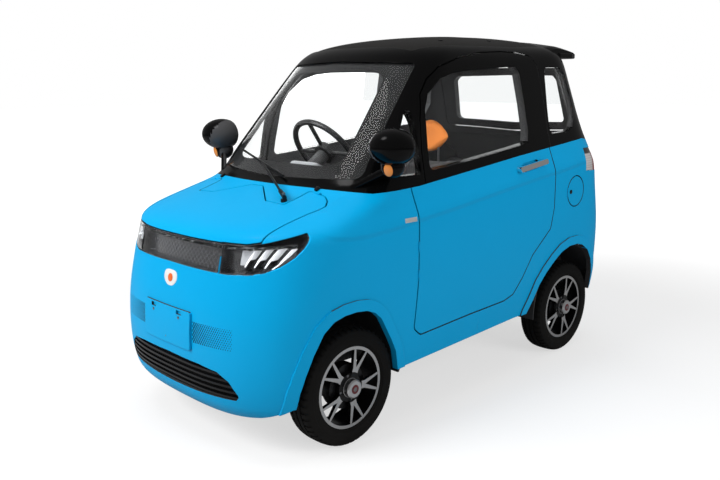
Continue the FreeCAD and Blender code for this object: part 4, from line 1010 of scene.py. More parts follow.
@dataclass
class RoadWheel:
    """Tyre with tread, hub disc and wheel nuts of one wheel."""

    axle: Axle
    side: Side
    radius: float = 0.241
    outer: float = 0.0105  # How far the tyre's wall stands out from the rim's face.
    width: float = 0.1275
    steps: int = 150  # Steps round the tyre.
    shoulder: Pair = (0.028, 0.060)  # Where the blocks lie, from the middle.
    shoulder_radius: float = 0.2285
    block: int = 3  # Every so many steps one block is sunk.
    sunk: float = 0.7 * GROOVE
    nut_radius: float = 0.0066
    nut_length: float = 0.016
    nut_back: float = -0.020
    nut_circle: float = 0.05
    nut_turn: float = -12.0  # Degrees from upright.
    nut_edge: float = 0.0011
    merge: float = 0.00001

    @property
    def word(self) -> str:
        """Return the wheel's name."""
        return f"{self.axle.word}_{self.side.word}"

    @property
    def middle(self) -> float:
        """Return the place of the tyre's middle behind the rim's face."""
        return self.outer - self.width / 2

    def finish(self, name: str, mesh: Mesh, slot: str, finish: Finish,
               **looks: Union[bool, float]) -> bpy.types.Object:
        """Move a form built about the X axis to this wheel and finish it.

        Args:
            name: The piece's name without the wheel's.
            mesh: The form, with the car's left side at +X.
            slot: The record's material slot.
            finish: Its finish.
            **looks: How its faces shade.

        Returns:
            The piece.
        """
        centre = (self.side.value * WHEEL_FACE_X, self.axle.value * AXLE_Y, AXLE_Z)
        bmesh.ops.scale(mesh, vec=(self.side.value, 1, 1), verts=mesh.verts)
        bmesh.ops.translate(mesh, vec=centre, verts=mesh.verts)
        body = f"wheel_{self.word}"
        return finish_piece(f"{name}_{self.word}", mesh, slot, finish, body, **looks)

    def tyre(self) -> None:
        """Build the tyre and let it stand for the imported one."""
        half = [*TYRE_BEAD, *((self.outer + x, r) for x, r in TYRE_WALL),
                *((self.middle + x, self.radius - drop) for x, drop in TYRE_CROWN)]
        section = half + [(2 * self.middle - x, r) for x, r in reversed(half)]
        mesh = bmesh.new()
        verts = [mesh.verts.new((x, 0.0, r)) for x, r in section]
        edges = [mesh.edges.new((a, b)) for a, b in zip(verts, verts[1:] + verts[:1])]
        bmesh.ops.spin(mesh, geom=verts + edges, cent=(0, 0, 0), axis=(1, 0, 0), angle=WHOLE_TURN,
                       steps=self.steps, use_merge=True, use_duplicate=False)
        bmesh.ops.remove_doubles(mesh, verts=mesh.verts, dist=self.merge)
        bmesh.ops.recalc_face_normals(mesh, faces=mesh.faces)
        self.sink_blocks(mesh)
        piece = self.finish("road_tyre", mesh, "tyre", RUBBER, sharp=32.0)
        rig.replaces(piece, f"tyre_{self.word}")

    def sink_blocks(self, mesh: Mesh) -> None:
        """Sink every third block of the shoulders.

        Args:
            mesh: The tyre about the X axis.
        """
        chosen = []
        for face in mesh.faces:
            spot = face.calc_center_median()
            turn = math.atan2(spot.y, spot.z) % WHOLE_TURN
            number = int(turn / WHOLE_TURN * self.steps)
            shift = 0 if spot.x > self.middle else 1
            if (self.shoulder[0] < abs(spot.x - self.middle) < self.shoulder[1]
                    and math.hypot(spot.y, spot.z) > self.shoulder_radius
                    and number % self.block == shift):
                chosen.append(face)
        made = bmesh.ops.extrude_face_region(mesh, geom=chosen)
        bmesh.ops.delete(mesh, geom=chosen, context="FACES_ONLY")
        for vert in (v for v in made["geom"] if isinstance(v, bmesh.types.BMVert)):
            vert.co -= Vector((0, vert.co.y, vert.co.z)).normalized() * self.sunk

    def build(self) -> None:
        """Build every piece of this wheel."""
        self.tyre()
        face = Matrix.Rotation(math.pi / 2, 4, "Y")
        for name, radius, depth, out, steps, finish in (
                ("hub_disc", 0.0185, 0.0016, 0.0257, 48, DARK_RED),
                ("hub_button", 0.0095, 0.0009, 0.0270, 40, STEEL)):
            mesh = bmesh.new()
            disc(mesh, radius, depth, Matrix.Translation((out, 0, 0)) @ face, steps=steps)
            self.finish(name, mesh, "rim_dark", finish)
        mesh = bmesh.new()
        for number in range(4):
            turn = math.radians(self.nut_turn) + number * math.pi / 2
            spot = Vector((self.nut_back, self.nut_circle * math.sin(turn),
                           self.nut_circle * math.cos(turn)))
            turn = Matrix.Translation(spot) @ face
            disc(mesh, self.nut_radius, self.nut_length, turn, self.nut_edge, 6)
        self.finish("wheel_nuts", mesh, "steel", STEEL, smooth=False)


@dataclass
class Fitting:
    """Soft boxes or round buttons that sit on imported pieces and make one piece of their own."""

    name: str
    nodes: Sequence[str]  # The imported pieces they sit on.
    starts: Sequence[Triple]  # Where the lines that find their places start.
    way: Sequence[float]  # Which way those lines go.
    size: Sequence[float]  # Three sizes of a box, or radius and depth of a button.
    out: float  # How far the middle of a box or the back of a button lies off the surface.
    edge: float
    slot: str
    finish: Finish
    body: str = "car"
    up: Sequence[float] = (0, 0, 1)
    steps: int = 32

    def add(self, mesh: Mesh) -> None:
        """Add the forms to a mesh.

        Args:
            mesh: The mesh they go into.
        """
        ground = Ground(*self.nodes)
        for start in self.starts:
            place, normal = ground.hit(start, self.way)
            turn = facing(place + normal * self.out, normal, self.up)
            if len(self.size) == 3:
                soft_box(mesh, self.size, turn, self.edge)
            else:
                disc(mesh, *self.size, turn, self.edge, self.steps)

    def build(self) -> None:
        """Build the piece."""
        mesh = bmesh.new()
        self.add(mesh)
        finish_piece(self.name, mesh, self.slot, self.finish, self.body)


@dataclass
class NoseFittings:
    """The blank shield on the nose, the lamps' strips and the plate holder's screws."""

    shield_place: Pair = (0.004, 0.670)  # Across and up.
    shield_size: Pair = (0.090, 0.064)
    squareness: float = 3.2
    taper: Pair = (0.50, 1.5)  # How much and how soon the shield narrows downward.
    shield_depth: float = 0.0040
    shield_sunk: float = 0.0026
    shield_rim: float = 0.0012
    dot_size: Pair = (0.0165, 0.0010)
    dot_out: float = 0.0013
    strip_steps: int = 56  # Steps to each side.
    strip_step: float = 0.0094
    strip_top: float = 0.8285
    strip_height: float = 0.0075
    strip_bend: Pair = (0.40, 0.12)  # Where its ends start to rise and how fast.
    strip_gap: float = 0.012  # Rows further apart than this aren't joined.
    strip_sunk: float = 0.0042
    strip_depth: float = 0.0012
    joint: Pair = (0.280, 0.288)  # Where the lamps' joint starts and ends.
    joint_low: float = 0.744
    joint_step: float = 0.0072
    joint_steps: int = 12
    joint_sunk: float = 0.0150
    joint_block: Triple = (0.0058, 0.020, 0.0075)
    joint_edge: float = 0.0003
    screws: Sequence[tuple] = (((-0.092, 0.092), 0.529, (0.006, 0.0022), 24),
                               ((0.0,), 0.437, (0.003, 0.0012), 16))  # Across, up, size, sides.
    screw_sunk: float = 0.0004

    def shield(self) -> None:
        """Build the white shield with a plain orange dot."""
        start = (self.shield_place[0], -FAR, self.shield_place[1])
        place, normal = Ground("front_body").hit(start, BACKWARD)
        mesh = bmesh.new()
        verts = bmesh.ops.create_circle(mesh, cap_ends=True, segments=48, radius=0.5)["verts"]
        power = self.squareness
        for vert in verts:
            turn = math.atan2(vert.co.y, vert.co.x)
            c, s = math.cos(turn), math.sin(turn)
            square = (abs(c) ** power + abs(s) ** power) ** (-1 / power) / 2
            taper = 1.0 - self.taper[0] * max(0.0, -s) ** self.taper[1]
            vert.co = (c * square * taper * self.shield_size[0],
                       s * square * self.shield_size[1], 0.0)
        top = thicken(mesh, self.shield_depth)
        rim = [e for e in mesh.edges if all(v in top for v in e.verts)]
        soften(mesh, top, rim, self.shield_rim, 3)
        bmesh.ops.transform(mesh, matrix=facing(place - normal * self.shield_sunk, normal),
                            verts=mesh.verts)
        finish_piece("nose_shield", mesh, "body_blue", BADGE_WHITE)
        Fitting("nose_dot", ["front_body"], [start], BACKWARD, self.dot_size, self.dot_out,
                BUTTON_EDGE, "body_blue", BADGE_ORANGE).build()

    def light_strip(self, ground: Ground) -> None:
        """Build the pale strip along the top edge of the lamps.

        Args:
            ground: The clear covers.
        """
        mesh = bmesh.new()
        rows = []
        start, rise = self.strip_bend
        for step in range(-self.strip_steps, self.strip_steps + 1):
            x = step * self.strip_step
            top = self.strip_top + max(0.0, abs(x) - start) * rise
            try:
                spots = [ground.hit((x, -FAR, z), BACKWARD) for z in (top - self.strip_height, top)]
            except ValueError:
                continue
            rows.append([mesh.verts.new(p - n * self.strip_sunk) for p, n in spots])
        for first, second in zip(rows, rows[1:]):
            if abs(first[0].co.x - second[0].co.x) < self.strip_gap:
                mesh.faces.new((first[0], first[1], second[1], second[0]))
        bmesh.ops.solidify(mesh, geom=mesh.faces[:], thickness=self.strip_depth)
        finish_piece("light_strip", mesh, "lamp", LIGHT_STRIP)

    def joint_strips(self, ground: Ground) -> None:
        """Build the black strips in the joints beside the middle panel.

        Args:
            ground: The clear covers.
        """
        mesh = bmesh.new()
        for side in Side:
            for step in range(self.joint_steps):
                z = self.joint_low + self.joint_step * step
                ends = [ground.hit((side.value * x, -FAR, z), BACKWARD)[0] for x in self.joint]
                spot = (ends[0] + ends[1]) / 2 + Vector(BACKWARD) * self.joint_sunk
                soft_box(mesh, self.joint_block, Matrix.Translation(spot), self.joint_edge, 1)
        finish_piece("lamp_joint_strips", mesh, "lamp", TRIM_BLACK, smooth=False)

    def build(self) -> None:
        """Build every fitting of the nose."""
        covers = Ground("lamp_covers")
        self.joint_strips(covers)
        self.shield()
        self.light_strip(covers)
        mesh = bmesh.new()
        for across, z, size, steps in self.screws:
            Fitting("plate_screws", ["plate_panel"], [(x, -FAR, z) for x in across], BACKWARD, size,
                    -self.screw_sunk, BUTTON_EDGE, "steel", STEEL, steps=steps).add(mesh)
        finish_piece("plate_screws", mesh, "steel", STEEL)


@dataclass
class GlassBorder:
    """The black printed border behind the windscreen."""

    clear: Sequence[Pair] = (  # Corners of the clear field.
        (-0.352, 1.082), (0.344, 1.082), (0.300, 1.462), (-0.306, 1.462))
    corner: float = 0.13  # How far each corner is cut back, as a share of the side.
    steps: int = 7  # Straight pieces that make one corner.
    gap: float = 0.0006  # How far the border lies behind the glass.
    thick: float = 0.0012
    cabin: Triple = (0.0, 0.15, 0.9)  # A place well inside the cabin.
    inward: float = -0.3  # Faces turned less to that place than this are left out.
    merge: float = 0.00002
    cut: float = 0.00001  # How near to a cutting plane a point counts as on it.

    def outline(self) -> list[Vector]:
        """Return points round the clear field with softened corners.

        Returns:
            The points, in order, at Y 0.
        """
        points = []
        flat = [Vector((x, 0.0, z)) for x, z in self.clear]
        for i, corner in enumerate(flat):
            start = corner.lerp(flat[i - 1], self.corner)
            stop = corner.lerp(flat[(i + 1) % len(flat)], self.corner)
            for t in (step / self.steps for step in range(self.steps + 1)):
                points.append(start.lerp(corner, t).lerp(corner.lerp(stop, t), t))
        return points

    def build(self) -> None:
        """Build the border from the back of the windscreen, without its clear field."""
        mesh = bmesh.new()
        mesh.from_mesh(frame["nodes"]["windscreen"].data)
        bmesh.ops.remove_doubles(mesh, verts=mesh.verts, dist=self.merge)
        cabin = Vector(self.cabin)
        front = [f for f in mesh.faces
                 if f.normal.dot((f.calc_center_median() - cabin).normalized()) > self.inward]
        bmesh.ops.delete(mesh, geom=front, context="FACES")
        points = self.outline()
        middle = sum(points, Vector()) / len(points)
        inside = list(mesh.faces)
        for spot, after in zip(points, points[1:] + points[:1]):
            way = (after - spot).cross(Vector(BACKWARD)).normalized()
            if way.dot(middle - spot) > 0.0:
                way.negate()
            rest = list(dict.fromkeys(part for f in inside for part in (*f.verts, *f.edges)))
            made = bmesh.ops.bisect_plane(mesh, geom=inside + rest, plane_co=spot, plane_no=way,
                                          dist=self.cut)["geom"]
            inside = [part for part in made if isinstance(part, bmesh.types.BMFace)
                      and (part.calc_center_median() - spot).dot(way) < 0.0]
        bmesh.ops.delete(mesh, geom=inside, context="FACES")
        mesh.normal_update()
        for vert in mesh.verts:
            vert.co += vert.normal * self.gap
        bmesh.ops.solidify(mesh, geom=mesh.faces[:], thickness=-self.thick)
        finish_piece("screen_border", mesh, "cab_black", BORDER_BLACK)


def past(value: float, start: float) -> float:
    """Return 0 up to a start and then how far a value is on its way to 1."""
    return max(0.0, (value - start) / (1.0 - start))


@dataclass
class RoofTail:
    """The moulded tail of the roof, which runs out over the hatch."""

    start: float = 0.74
    reach: float = 1.094  # How far back its middle ends.
    half: float = 0.416
    top: float = 1.636  # Height of the roof's middle where it starts.
    tip: float = 1.5665
    low: float = 1.550
    slope: float = -0.10  # How steeply the roof falls where it starts.
    shoulder: float = 0.034  # How far the sides lie below the middle.
    fade: float = 0.45  # Share of the length over which it leaves the roof's own height.
    edge: float = 0.92  # Share of the width where the side edge starts to fall.
    edge_drop: float = 0.014
    end: float = 0.93  # Share of the length where the tip starts to fall.
    end_drop: float = 0.0060
    side_pull: float = 0.028  # How much shorter the sides are.
    corner_pull: float = 0.030
    sunk: float = 0.0008
    columns: int = 72
    rows: int = 24

    def height(self, surface: float, share: float, along: float) -> float:
        """Return the height of the tail's top.

        Args:
            surface: Height of the roof under the start of this column.
            share: How far out the column is, 1 at the side.
            along: How far along the column, 1 at the tip.

        Returns:
            The height.
        """
        length = self.reach - self.start
        bend = self.tip - self.top - self.slope * length
        full = self.top + self.slope * length * along + bend * along * along
        full -= self.shoulder * (1.0 - along) * share ** 3
        fade = min(1.0, along / self.fade)
        full = surface + (full - surface) * fade * fade * (3.0 - 2.0 * fade)
        full -= self.edge_drop * past(share, self.edge) ** 2 * (1.0 - along)
        return full - self.end_drop * past(along, self.end) ** 2

    def build(self) -> None:
        """Build the tail between the roof and the lip below it."""
        roof = Ground("roof_panel", "cab_frame")
        mesh = bmesh.new()
        grids: tuple[list[Verts], list[Verts]] = ([], [])
        for column in range(self.columns + 1):
            x = self.half * (2.0 * column / self.columns - 1.0)
            share = abs(x / self.half)
            length = (self.reach - self.start - self.side_pull * share ** 3
                      - self.corner_pull * past(share, self.edge) ** 2)
            surface = roof.hit((x, self.start, HIGH), DOWN)[0].z - self.sunk
            for grid in grids:
                grid.append([])
            for along in (row / self.rows for row in range(self.rows + 1)):
                y = self.start + length * along
                for grid, z in zip(grids, (self.height(surface, share, along), self.low)):
                    grid[-1].append(mesh.verts.new((x, y, z)))
        for grid in grids:
            for first, second in zip(grid, grid[1:]):
                for i in range(self.rows):
                    mesh.faces.new((first[i], first[i + 1], second[i + 1], second[i]))
        bmesh.ops.bridge_loops(mesh, edges=[e for e in mesh.edges if len(e.link_faces) == 1])
        finish_piece("roof_tail", mesh, "cab_black", CAB_BLACK)


@dataclass
class SideFittings:
    """Small fittings of one side: mirror casing and glass, indicator lens, strip and reflector."""

    side: Side
    casing_half: Triple = (0.0935, 0.098, 0.0735)
    casing_middle: Triple = (0.5745, -0.562, 1.173)
    casing_back: float = -0.5232
    casing_rim: float = 0.003
    glass_half: Triple = (0.064, 0.050, 1.0)
    glass_middle: Triple = (0.583, -0.5265, 1.172)
    glass_depth: float = 0.003
    lens_place: Pair = (0.584, 1.085)  # Across and up.
    lens_half: Triple = (0.019, 0.026, 0.0065)
    lens_sunk: float = 0.001

    def finish(self, name: str, mesh: Mesh, slot: str, finish: Finish) -> None:
        """Finish a piece under its name on this side."""
        finish_piece(f"{name}_{self.side.word}", mesh, slot, finish)

    def mirrored(self, spot: Triple) -> Vector:
        """Return a place on the left side as it is on this side."""
        return Vector((self.side.value * spot[0], spot[1], spot[2]))

    def mirror(self) -> None:
        """Build the full round casing over the mirror head and the silvered glass in its back."""
        mesh = bmesh.new()
        bmesh.ops.create_uvsphere(mesh, u_segments=64, v_segments=40, radius=1.0)
        bmesh.ops.scale(mesh, vec=self.casing_half, verts=mesh.verts)
        bmesh.ops.translate(mesh, vec=self.mirrored(self.casing_middle), verts=mesh.verts)
        cut = bmesh.ops.bisect_plane(mesh, geom=mesh.verts[:] + mesh.edges[:] + mesh.faces[:],
                                     plane_co=(0.0, self.casing_back, 0.0), plane_no=BACKWARD,
                                     clear_outer=True)
        rim = [part for part in cut["geom_cut"] if isinstance(part, bmesh.types.BMEdge)]
        bmesh.ops.contextual_create(mesh, geom=rim)
        soften(mesh, [], rim, self.casing_rim, 3)
        self.finish("mirror_shell", mesh, "cab_black", CAB_BLACK)
        mesh = bmesh.new()
        verts = bmesh.ops.create_circle(mesh, cap_ends=True, segments=64, radius=1.0)["verts"]
        bmesh.ops.scale(mesh, vec=self.glass_half, verts=verts)
        thicken(mesh, self.glass_depth)
        turn = facing(self.mirrored(self.glass_middle), Vector(BACKWARD))
        bmesh.ops.transform(mesh, matrix=turn, verts=mesh.verts)
        self.finish("mirror_glass", mesh, "steel", CHROME)

    def build(self) -> None:
        """Build every fitting of this side."""
        self.mirror()
        sign = self.side.value
        across, height = self.lens_place
        place, normal = Ground("mirrors").hit((sign * across, -FAR, height), BACKWARD)
        mesh = bmesh.new()
        verts = bmesh.ops.create_icosphere(mesh, subdivisions=4, radius=1.0)["verts"]
        bmesh.ops.scale(mesh, vec=self.lens_half, verts=verts)
        bmesh.ops.transform(mesh, matrix=facing(place - normal * self.lens_sunk, normal),
                            verts=mesh.verts)
        self.finish("indicator", mesh, "lamp", AMBER)
        word = self.side.word
        Fitting(f"side_strip_{word}", ["front_body"], [(sign * FAR, -0.474, 0.876)], (-sign, 0, 0),
                (0.070, 0.0185, 0.0034), 0.0, 0.0010, "steel", SILVER).build()
        Fitting(f"rear_reflector_{word}", ["rear_body"], [(sign * 0.40, FAR, 0.45)], FORWARD,
                (0.085, 0.026, 0.006), 0.0, 0.002, "tail_red", TAIL_RED).build()


# The plugs along the roof, the washer nozzles ahead of the windscreen and the charge flap's lock.
ROOF_AND_NOZZLES = (
    Fitting("roof_plugs", ["roof_panel", "cab_frame"],
            [(x, y, HIGH) for x in (-0.30, 0.30) for y in (0.05, 0.42, 0.78)], DOWN,
            (0.011, 0.006), -0.002, 0.002, "trim_black", TRIM_BLACK, up=BACKWARD),
    Fitting("washer_nozzles", ["front_body", "cab_frame"],
            [(x, -0.735, HIGH) for x in (-0.325, 0.325)], DOWN,
            (0.016, 0.024, 0.014), 0.003, 0.004, "trim_black", TRIM_BLACK, up=BACKWARD))
FLAP_LOCK = Fitting("flap_lock", ["charge_flap"], [(FAR, 0.752, 0.865)], (-1, 0, 0),
                    (0.011, 0.004), -0.001, 0.001, "trim_black", TRIM_BLACK, "charge_flap")


@dataclass
class SmallFittings:
    """Single small fittings that sit on one panel each."""

    nut_place: Triple = (0.270, -0.864, 0.9885)
    nut_way: Triple = (0.1, -0.35, 1.0)
    nut_size: Pair = (0.0075, 0.006)
    nut_edge: float = 0.0015
    dial_place: Triple = (0.02, -0.525, 1.022)
    dial_tilt: float = -25.0
    dial_size: Triple = (0.19, 0.10, 0.090)
    dial_edge: float = 0.026
    face_place: Triple = (0.0, 0.0485, 0.004)  # From the panel's middle.
    face_size: Triple = (0.13, 0.006, 0.052)
    face_edge: float = 0.0025

    def instruments(self) -> None:
        """Build the pale instrument panel behind the steering wheel."""
        tilt = Matrix.Rotation(math.radians(self.dial_tilt), 4, "X")
        turn = Matrix.Translation(self.dial_place) @ tilt
        mesh = bmesh.new()
        soft_box(mesh, self.dial_size, turn, self.dial_edge, 4)
        finish_piece("instrument_panel", mesh, "inside", DIAL_GREY)
        mesh = bmesh.new()
        turn = turn @ Matrix.Translation(self.face_place)
        soft_box(mesh, self.face_size, turn, self.face_edge)
        finish_piece("instrument_glass", mesh, "lamp", TRIM_BLACK)

    def build(self) -> None:
        """Build every small fitting, with the bright nut on the wiper's pivot."""
        for fitting in ROOF_AND_NOZZLES:
            fitting.build()
        mesh = bmesh.new()
        turn = facing(Vector(self.nut_place), Vector(self.nut_way), BACKWARD)
        disc(mesh, *self.nut_size, turn, self.nut_edge, 6)
        finish_piece("wiper_nut", mesh, "steel", STEEL)
        FLAP_LOCK.build()
        self.instruments()


@dataclass
class CushionPad:
    """A stuffed pad, swollen by cloth simulation and then sewn."""

    name: str
    low: Triple
    high: Triple
    finish: Finish
    slot: str
    seams: Sequence[tuple[int, float]] = ()  # Sewn channels as axis number and coordinate.
    voxel: float = 0.007  # Size of the mesh's cells.
    corner: float = 0.035
    squeeze: float = 0.012  # How much smaller than its room it starts.
    cap: float = 0.024  # How far a point may swell.
    leaf: bool = False  # Whether its outline draws to a point at both sides.
    leaf_power: float = 1.7
    leaf_least: Pair = (0.35, 0.06)  # Smallest share of the depth and the height.
    pressure: float = 4.0
    frames: int = 20
    seam_half: float = 0.006
    seam_depth: float = 0.007

    def start(self) -> bpy.types.Object:
        """Return the plain form before it swells.

        Returns:
            The object, in the scene.
        """
        low, high = Vector(self.low), Vector(self.high)
        middle = (low + high) / 2
        size = high - low - Vector((2 * self.squeeze,) * 3)
        mesh = bmesh.new()
        soft_box(mesh, size, Matrix.Translation(middle), self.corner, 4)
        if self.leaf:
            bmesh.ops.subdivide_edges(mesh, edges=mesh.edges[:], cuts=5, use_grid_fill=True)
            for vert in mesh.verts:
                share = min(1.0, abs(vert.co.x - middle.x) / (size.x / 2))
                draw = max(self.leaf_least[1], 1.0 - share ** self.leaf_power)
                vert.co.z = middle.z + (vert.co.z - middle.z) * draw
                vert.co.y = middle.y + (vert.co.y - middle.y) * max(self.leaf_least[0], draw ** 0.5)
        pad = put(self.name, to_data(self.name, mesh))
        bpy.context.view_layer.objects.active = pad
        remesh = pad.modifiers.new("cells", "REMESH")
        remesh.mode, remesh.voxel_size = "VOXEL", self.voxel
        self.apply(pad, "cells")
        return pad

    @staticmethod
    def apply(pad: bpy.types.Object, name: str) -> None:
        """Apply the modifier of this name."""
        with bpy.context.temp_override(object=pad, active_object=pad, selected_objects=[pad]):
            bpy.ops.object.modifier_apply(modifier=name)

    def swell(self, pad: bpy.types.Object) -> None:
        """Blow the pad up as cloth and hold every point within the cap.

        Args:
            pad: The piece.
        """
        rest = [v.co.copy() for v in pad.data.vertices]
        cloth = pad.modifiers.new("stuffing", "CLOTH")
        cloth.settings.use_pressure = True
        cloth.settings.uniform_pressure_force = self.pressure
        cloth.settings.effector_weights.gravity = 0.0
        cloth.settings.quality = 4
        cloth.point_cache.frame_start, cloth.point_cache.frame_end = 1, self.frames
        for number in range(1, self.frames + 1):
            bpy.context.scene.frame_set(number)
        self.apply(pad, "stuffing")
        bpy.context.scene.frame_set(1)
        for vert, home in zip(pad.data.vertices, rest):
            move = vert.co - home
            if move.length > self.cap:
                move = move.normalized() * self.cap
            spot = home + move
            vert.co = [min(max(c, a), b) for c, a, b in zip(spot, self.low, self.high)]

    def sew(self, pad: bpy.types.Object) -> None:
        """Press the sewn channels in.

        Args:
            pad: The piece.
        """
        middle = (Vector(self.low) + Vector(self.high)) / 2
        thin = min(range(3), key=lambda i: self.high[i] - self.low[i])
        for vert in pad.data.vertices:
            dip = sum(math.exp(-((vert.co[axis] - at) / self.seam_half) ** 2)
                      for axis, at in self.seams)
            away = vert.co[thin] - middle[thin]
            depth = min(abs(away), self.seam_depth * min(dip, 1.0))
            vert.co[thin] -= math.copysign(depth, away)

    def build(self, *nodes: str) -> None:
        """Build the pad.

        Args:
            *nodes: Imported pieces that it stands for.
        """
        pad = self.start()
        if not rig.quick():
            self.swell(pad)
        self.sew(pad)
        smooth = pad.modifiers.new("smooth", "SUBSURF")
        smooth.levels = smooth.render_levels = 1
        self.apply(pad, "smooth")
        for face in pad.data.polygons:
            face.use_smooth = True
        pad.data.materials.clear()
        pad.data.materials.append(self.finish.material())
        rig.ride(pad, "car")
        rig.slot(pad, self.slot)
        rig.padded(pad, fill=0.8)
        if nodes:
            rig.replaces(pad, *nodes)
        LOG.info("%s: %d faces", self.name, len(pad.data.polygons))


@dataclass
class Seats:
    """Driver's seat, headrest and rear bench."""

    seat_base: tuple[Triple, Triple] = ((-0.175, -0.015, 0.343), (0.175, 0.355, 0.560))
    bench_base: tuple[Triple, Triple] = ((-0.325, 0.645, 0.343), (0.325, 0.935, 0.580))
    seat_seams: Sequence[tuple[int, float]] = ((0, -0.12), (0, 0.12))
    bench_seams: Sequence[tuple[int, float]] = ((0, -0.18), (0, 0.0), (0, 0.18))
    post_places: Sequence[Triple] = ((-0.055, 0.345, 1.050), (0.055, 0.345, 1.050))
    post_radius: float = 0.006
    post_length: float = 0.11
    base_edge: float = 0.014

    def build(self) -> None:
        """Build every soft piece, the moulded bases and the headrest's posts."""
        for name in ("seat_base", "bench_base"):
            low, high = (Vector(corner) for corner in getattr(self, name))
            mesh = bmesh.new()
            soft_box(mesh, high - low, Matrix.Translation((low + high) / 2), self.base_edge)
            finish_piece(name, mesh, "inside", INSIDE)
        CushionPad("seat_cushion", (-0.22, -0.06, 0.53), (0.22, 0.34, 0.64), SEAT_LEATHER, "seat",
                   (*self.seat_seams, (1, 0.04))).build("driver_seat")
        CushionPad("seat_back", (-0.22, 0.29, 0.55), (0.22, 0.40, 1.05), SEAT_LEATHER, "seat",
                   (*self.seat_seams, (2, 0.86)), corner=0.045).build()
        CushionPad("headrest_pad", (-0.125, 0.3005, 1.055), (0.125, 0.3895, 1.235), ORANGE_CLOTH,
                   "headrest", (), 0.005, 0.030, 0.008, 0.012, True).build("headrest")
        CushionPad("bench_cushion", (-0.37, 0.60, 0.55), (0.37, 0.93, 0.66), SEAT_LEATHER, "seat",
                   self.bench_seams, 0.009).build("rear_bench")
        CushionPad("bench_back", (-0.37, 0.87, 0.57), (0.37, 0.98, 1.00), SEAT_LEATHER, "seat",
                   self.bench_seams, 0.009).build()
        mesh = bmesh.new()
        for place in self.post_places:
            made = bmesh.ops.create_cone(mesh, cap_ends=True, segments=20, radius1=self.post_radius,
                                         radius2=self.post_radius, depth=self.post_length)["verts"]
            bmesh.ops.translate(mesh, vec=place, verts=made)
        finish_piece("headrest_posts", mesh, "steel", STEEL)


# Soft square lamps: name, place, target, size, watts and whether glossy surfaces show them.
LAMPS = (("nose_lamp", (-1.2, -5.0, 3.6), (0.0, -0.6, 0.7), 2.6, 272.0, False),
         ("top_lamp", (0.2, 0.2, 4.6), (0.0, 0.0, 0.5), 3.4, 40.0, False),
         ("side_lamp", (5.2, 0.2, 2.4), (0.0, 0.2, 0.7), 3.0, 122.0, False),
         ("far_lamp", (-4.6, 2.6, 2.6), (0.0, 0.2, 0.8), 3.0, 60.0, False),
         ("sheen_lamp", (-0.8, -2.4, 5.6), (0.0, 0.0, 1.0), 1.4, 34.0, True))
WHITE: Triple = (1.0, 1.0, 1.0)


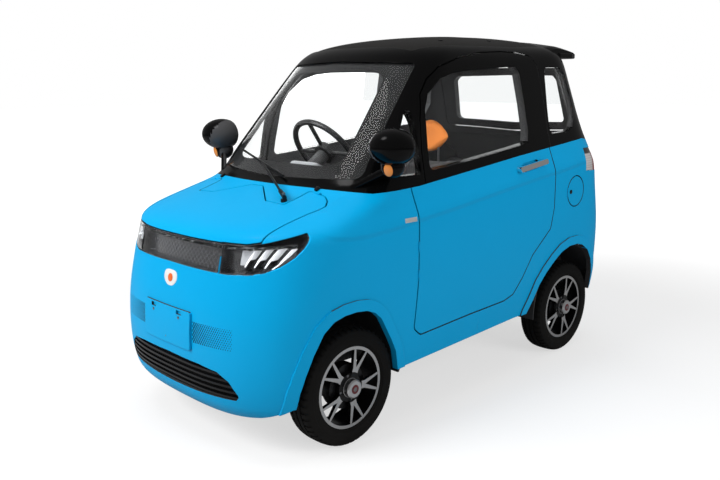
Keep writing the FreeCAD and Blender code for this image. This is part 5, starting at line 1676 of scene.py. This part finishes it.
@dataclass
class Studio:
    """Floor, lamps, background and camera."""

    azimuth: float = 45.352  # Where the camera stands round the car, in degrees from the nose.
    elevation: float = 11.634  # How far it looks down.
    roll: float = -0.214
    place: Triple = (2.633, -2.776, 1.426)
    lens: float = 38.637  # Focal length in millimetres for a 36 mm wide sensor.
    floor_half: float = 40.0
    floor_colour: Triple = (0.40, 0.40, 0.40)
    floor_roughness: float = 0.9
    glow_near: float = 0.62  # How bright the floor looks under the car and how much more far off.
    glow_rise: float = 0.4
    glow_reach: Pair = (2.0, 5.0)
    sky_light: float = 0.22  # Strength of the background as light. To the eye it is white.

    def camera(self) -> None:
        """Place the camera at the photograph's viewpoint."""
        az, el, roll = (math.radians(a) for a in (self.azimuth, self.elevation, self.roll))
        back = Vector((math.sin(az) * math.cos(el), -math.cos(az) * math.cos(el), math.sin(el)))
        right = Vector((math.cos(az), math.sin(az), 0.0))
        up = back.cross(right)
        axes = (right * math.cos(roll) + up * math.sin(roll),
                up * math.cos(roll) - right * math.sin(roll), back)
        data = bpy.data.cameras.new("camera")
        data.sensor_width, data.lens = 36.0, self.lens
        data.clip_start, data.clip_end = 0.05, 100.0
        camera = put("camera", data)
        camera.matrix_world = Matrix.Translation(self.place) @ Matrix(axes).transposed().to_4x4()
        bpy.context.scene.camera = camera

    @staticmethod
    def lamps() -> None:
        """Hang the lamps."""
        for name, place, target, size, power, mirrored in LAMPS:
            data = bpy.data.lights.new(name, "AREA")
            data.shape, data.size, data.energy = "SQUARE", size, power
            lamp = put(name, data)
            lamp.visible_glossy = mirrored
            turn = (Vector(target) - Vector(place)).to_track_quat("-Z", "Y").to_matrix().to_4x4()
            lamp.matrix_world = Matrix.Translation(place) @ turn

    @staticmethod
    def seen(graph: Graph) -> Term:
        """Return 1 where the eye looks, straight or through glass.

        Args:
            graph: A graph of the floor or the background.

        Returns:
            A mask.
        """
        path = graph.node("ShaderNodeLightPath").outputs
        camera, glass = (Term(graph, path[f"Is {kind} Ray"]) for kind in ("Camera", "Transmission"))
        return camera.op("MAXIMUM", glass)

    def floor(self) -> None:
        """Lay the pale floor."""
        mesh = bmesh.new()
        bmesh.ops.create_grid(mesh, x_segments=1, y_segments=1, size=self.floor_half)
        floor = put("studio_floor", to_data("studio_floor", mesh))
        material = bpy.data.materials.new("studio_floor")
        material.use_nodes = True
        graph = Graph(material.node_tree)
        x, y, _ = graph.axes
        away = graph.ramp((x * x + y * y).op("SQRT"), *self.glow_reach)
        glow = away * self.glow_rise + self.glow_near
        shader = graph.term("ShaderNodeBsdfPrincipled", {
            "Base Color": self.floor_colour, "Roughness": self.floor_roughness,
            "Emission Color": WHITE,
            "Emission Strength": self.seen(graph) * glow, "Specular IOR Level": 0.0})
        graph.node("ShaderNodeOutputMaterial", {0: shader})
        floor.data.materials.append(material)
        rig.stage(floor)

    def world(self) -> None:
        """Make the background white to the eye and soft as light."""
        world = bpy.data.worlds.new("studio_world")
        bpy.context.scene.world = world
        world.use_nodes = True
        graph = Graph(world.node_tree)
        light = self.seen(graph) * (1.0 - self.sky_light) + self.sky_light
        back = graph.term("ShaderNodeBackground", {"Color": WHITE, "Strength": light})
        graph.node("ShaderNodeOutputWorld", {0: back})

    def build(self) -> None:
        """Set the whole studio up."""
        self.camera()
        self.floor()
        self.world()
        self.lamps()
        bpy.context.scene.view_settings.view_transform = "Standard"


def clear_start_up() -> None:
    """Remove what an empty file starts with."""
    for name in ("Cube", "Light", "Camera"):
        found = bpy.data.objects.get(name)
        if found and "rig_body" not in found:
            bpy.data.objects.remove(found)


def main() -> None:
    """Build the looks of the car and its studio."""
    logging.basicConfig(level=logging.INFO, format="%(name)s: %(message)s")
    clear_start_up()
    Studio().build()
    dress_packed_pieces()
    for axle in Axle:
        for side in Side:
            RoadWheel(axle, side).build()
    NoseFittings().build()
    GlassBorder().build()
    RoofTail().build()
    for side in Side:
        SideFittings(side).build()
    SmallFittings().build()
    Seats().build()
    boxes = {"cad": CAD_BOX, "visual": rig.bounds()}
    with open("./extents.json", "w") as out:
        json.dump({name: [list(corner) for corner in box] for name, box in boxes.items()}, out)


if __name__ == "__main__":
    main()
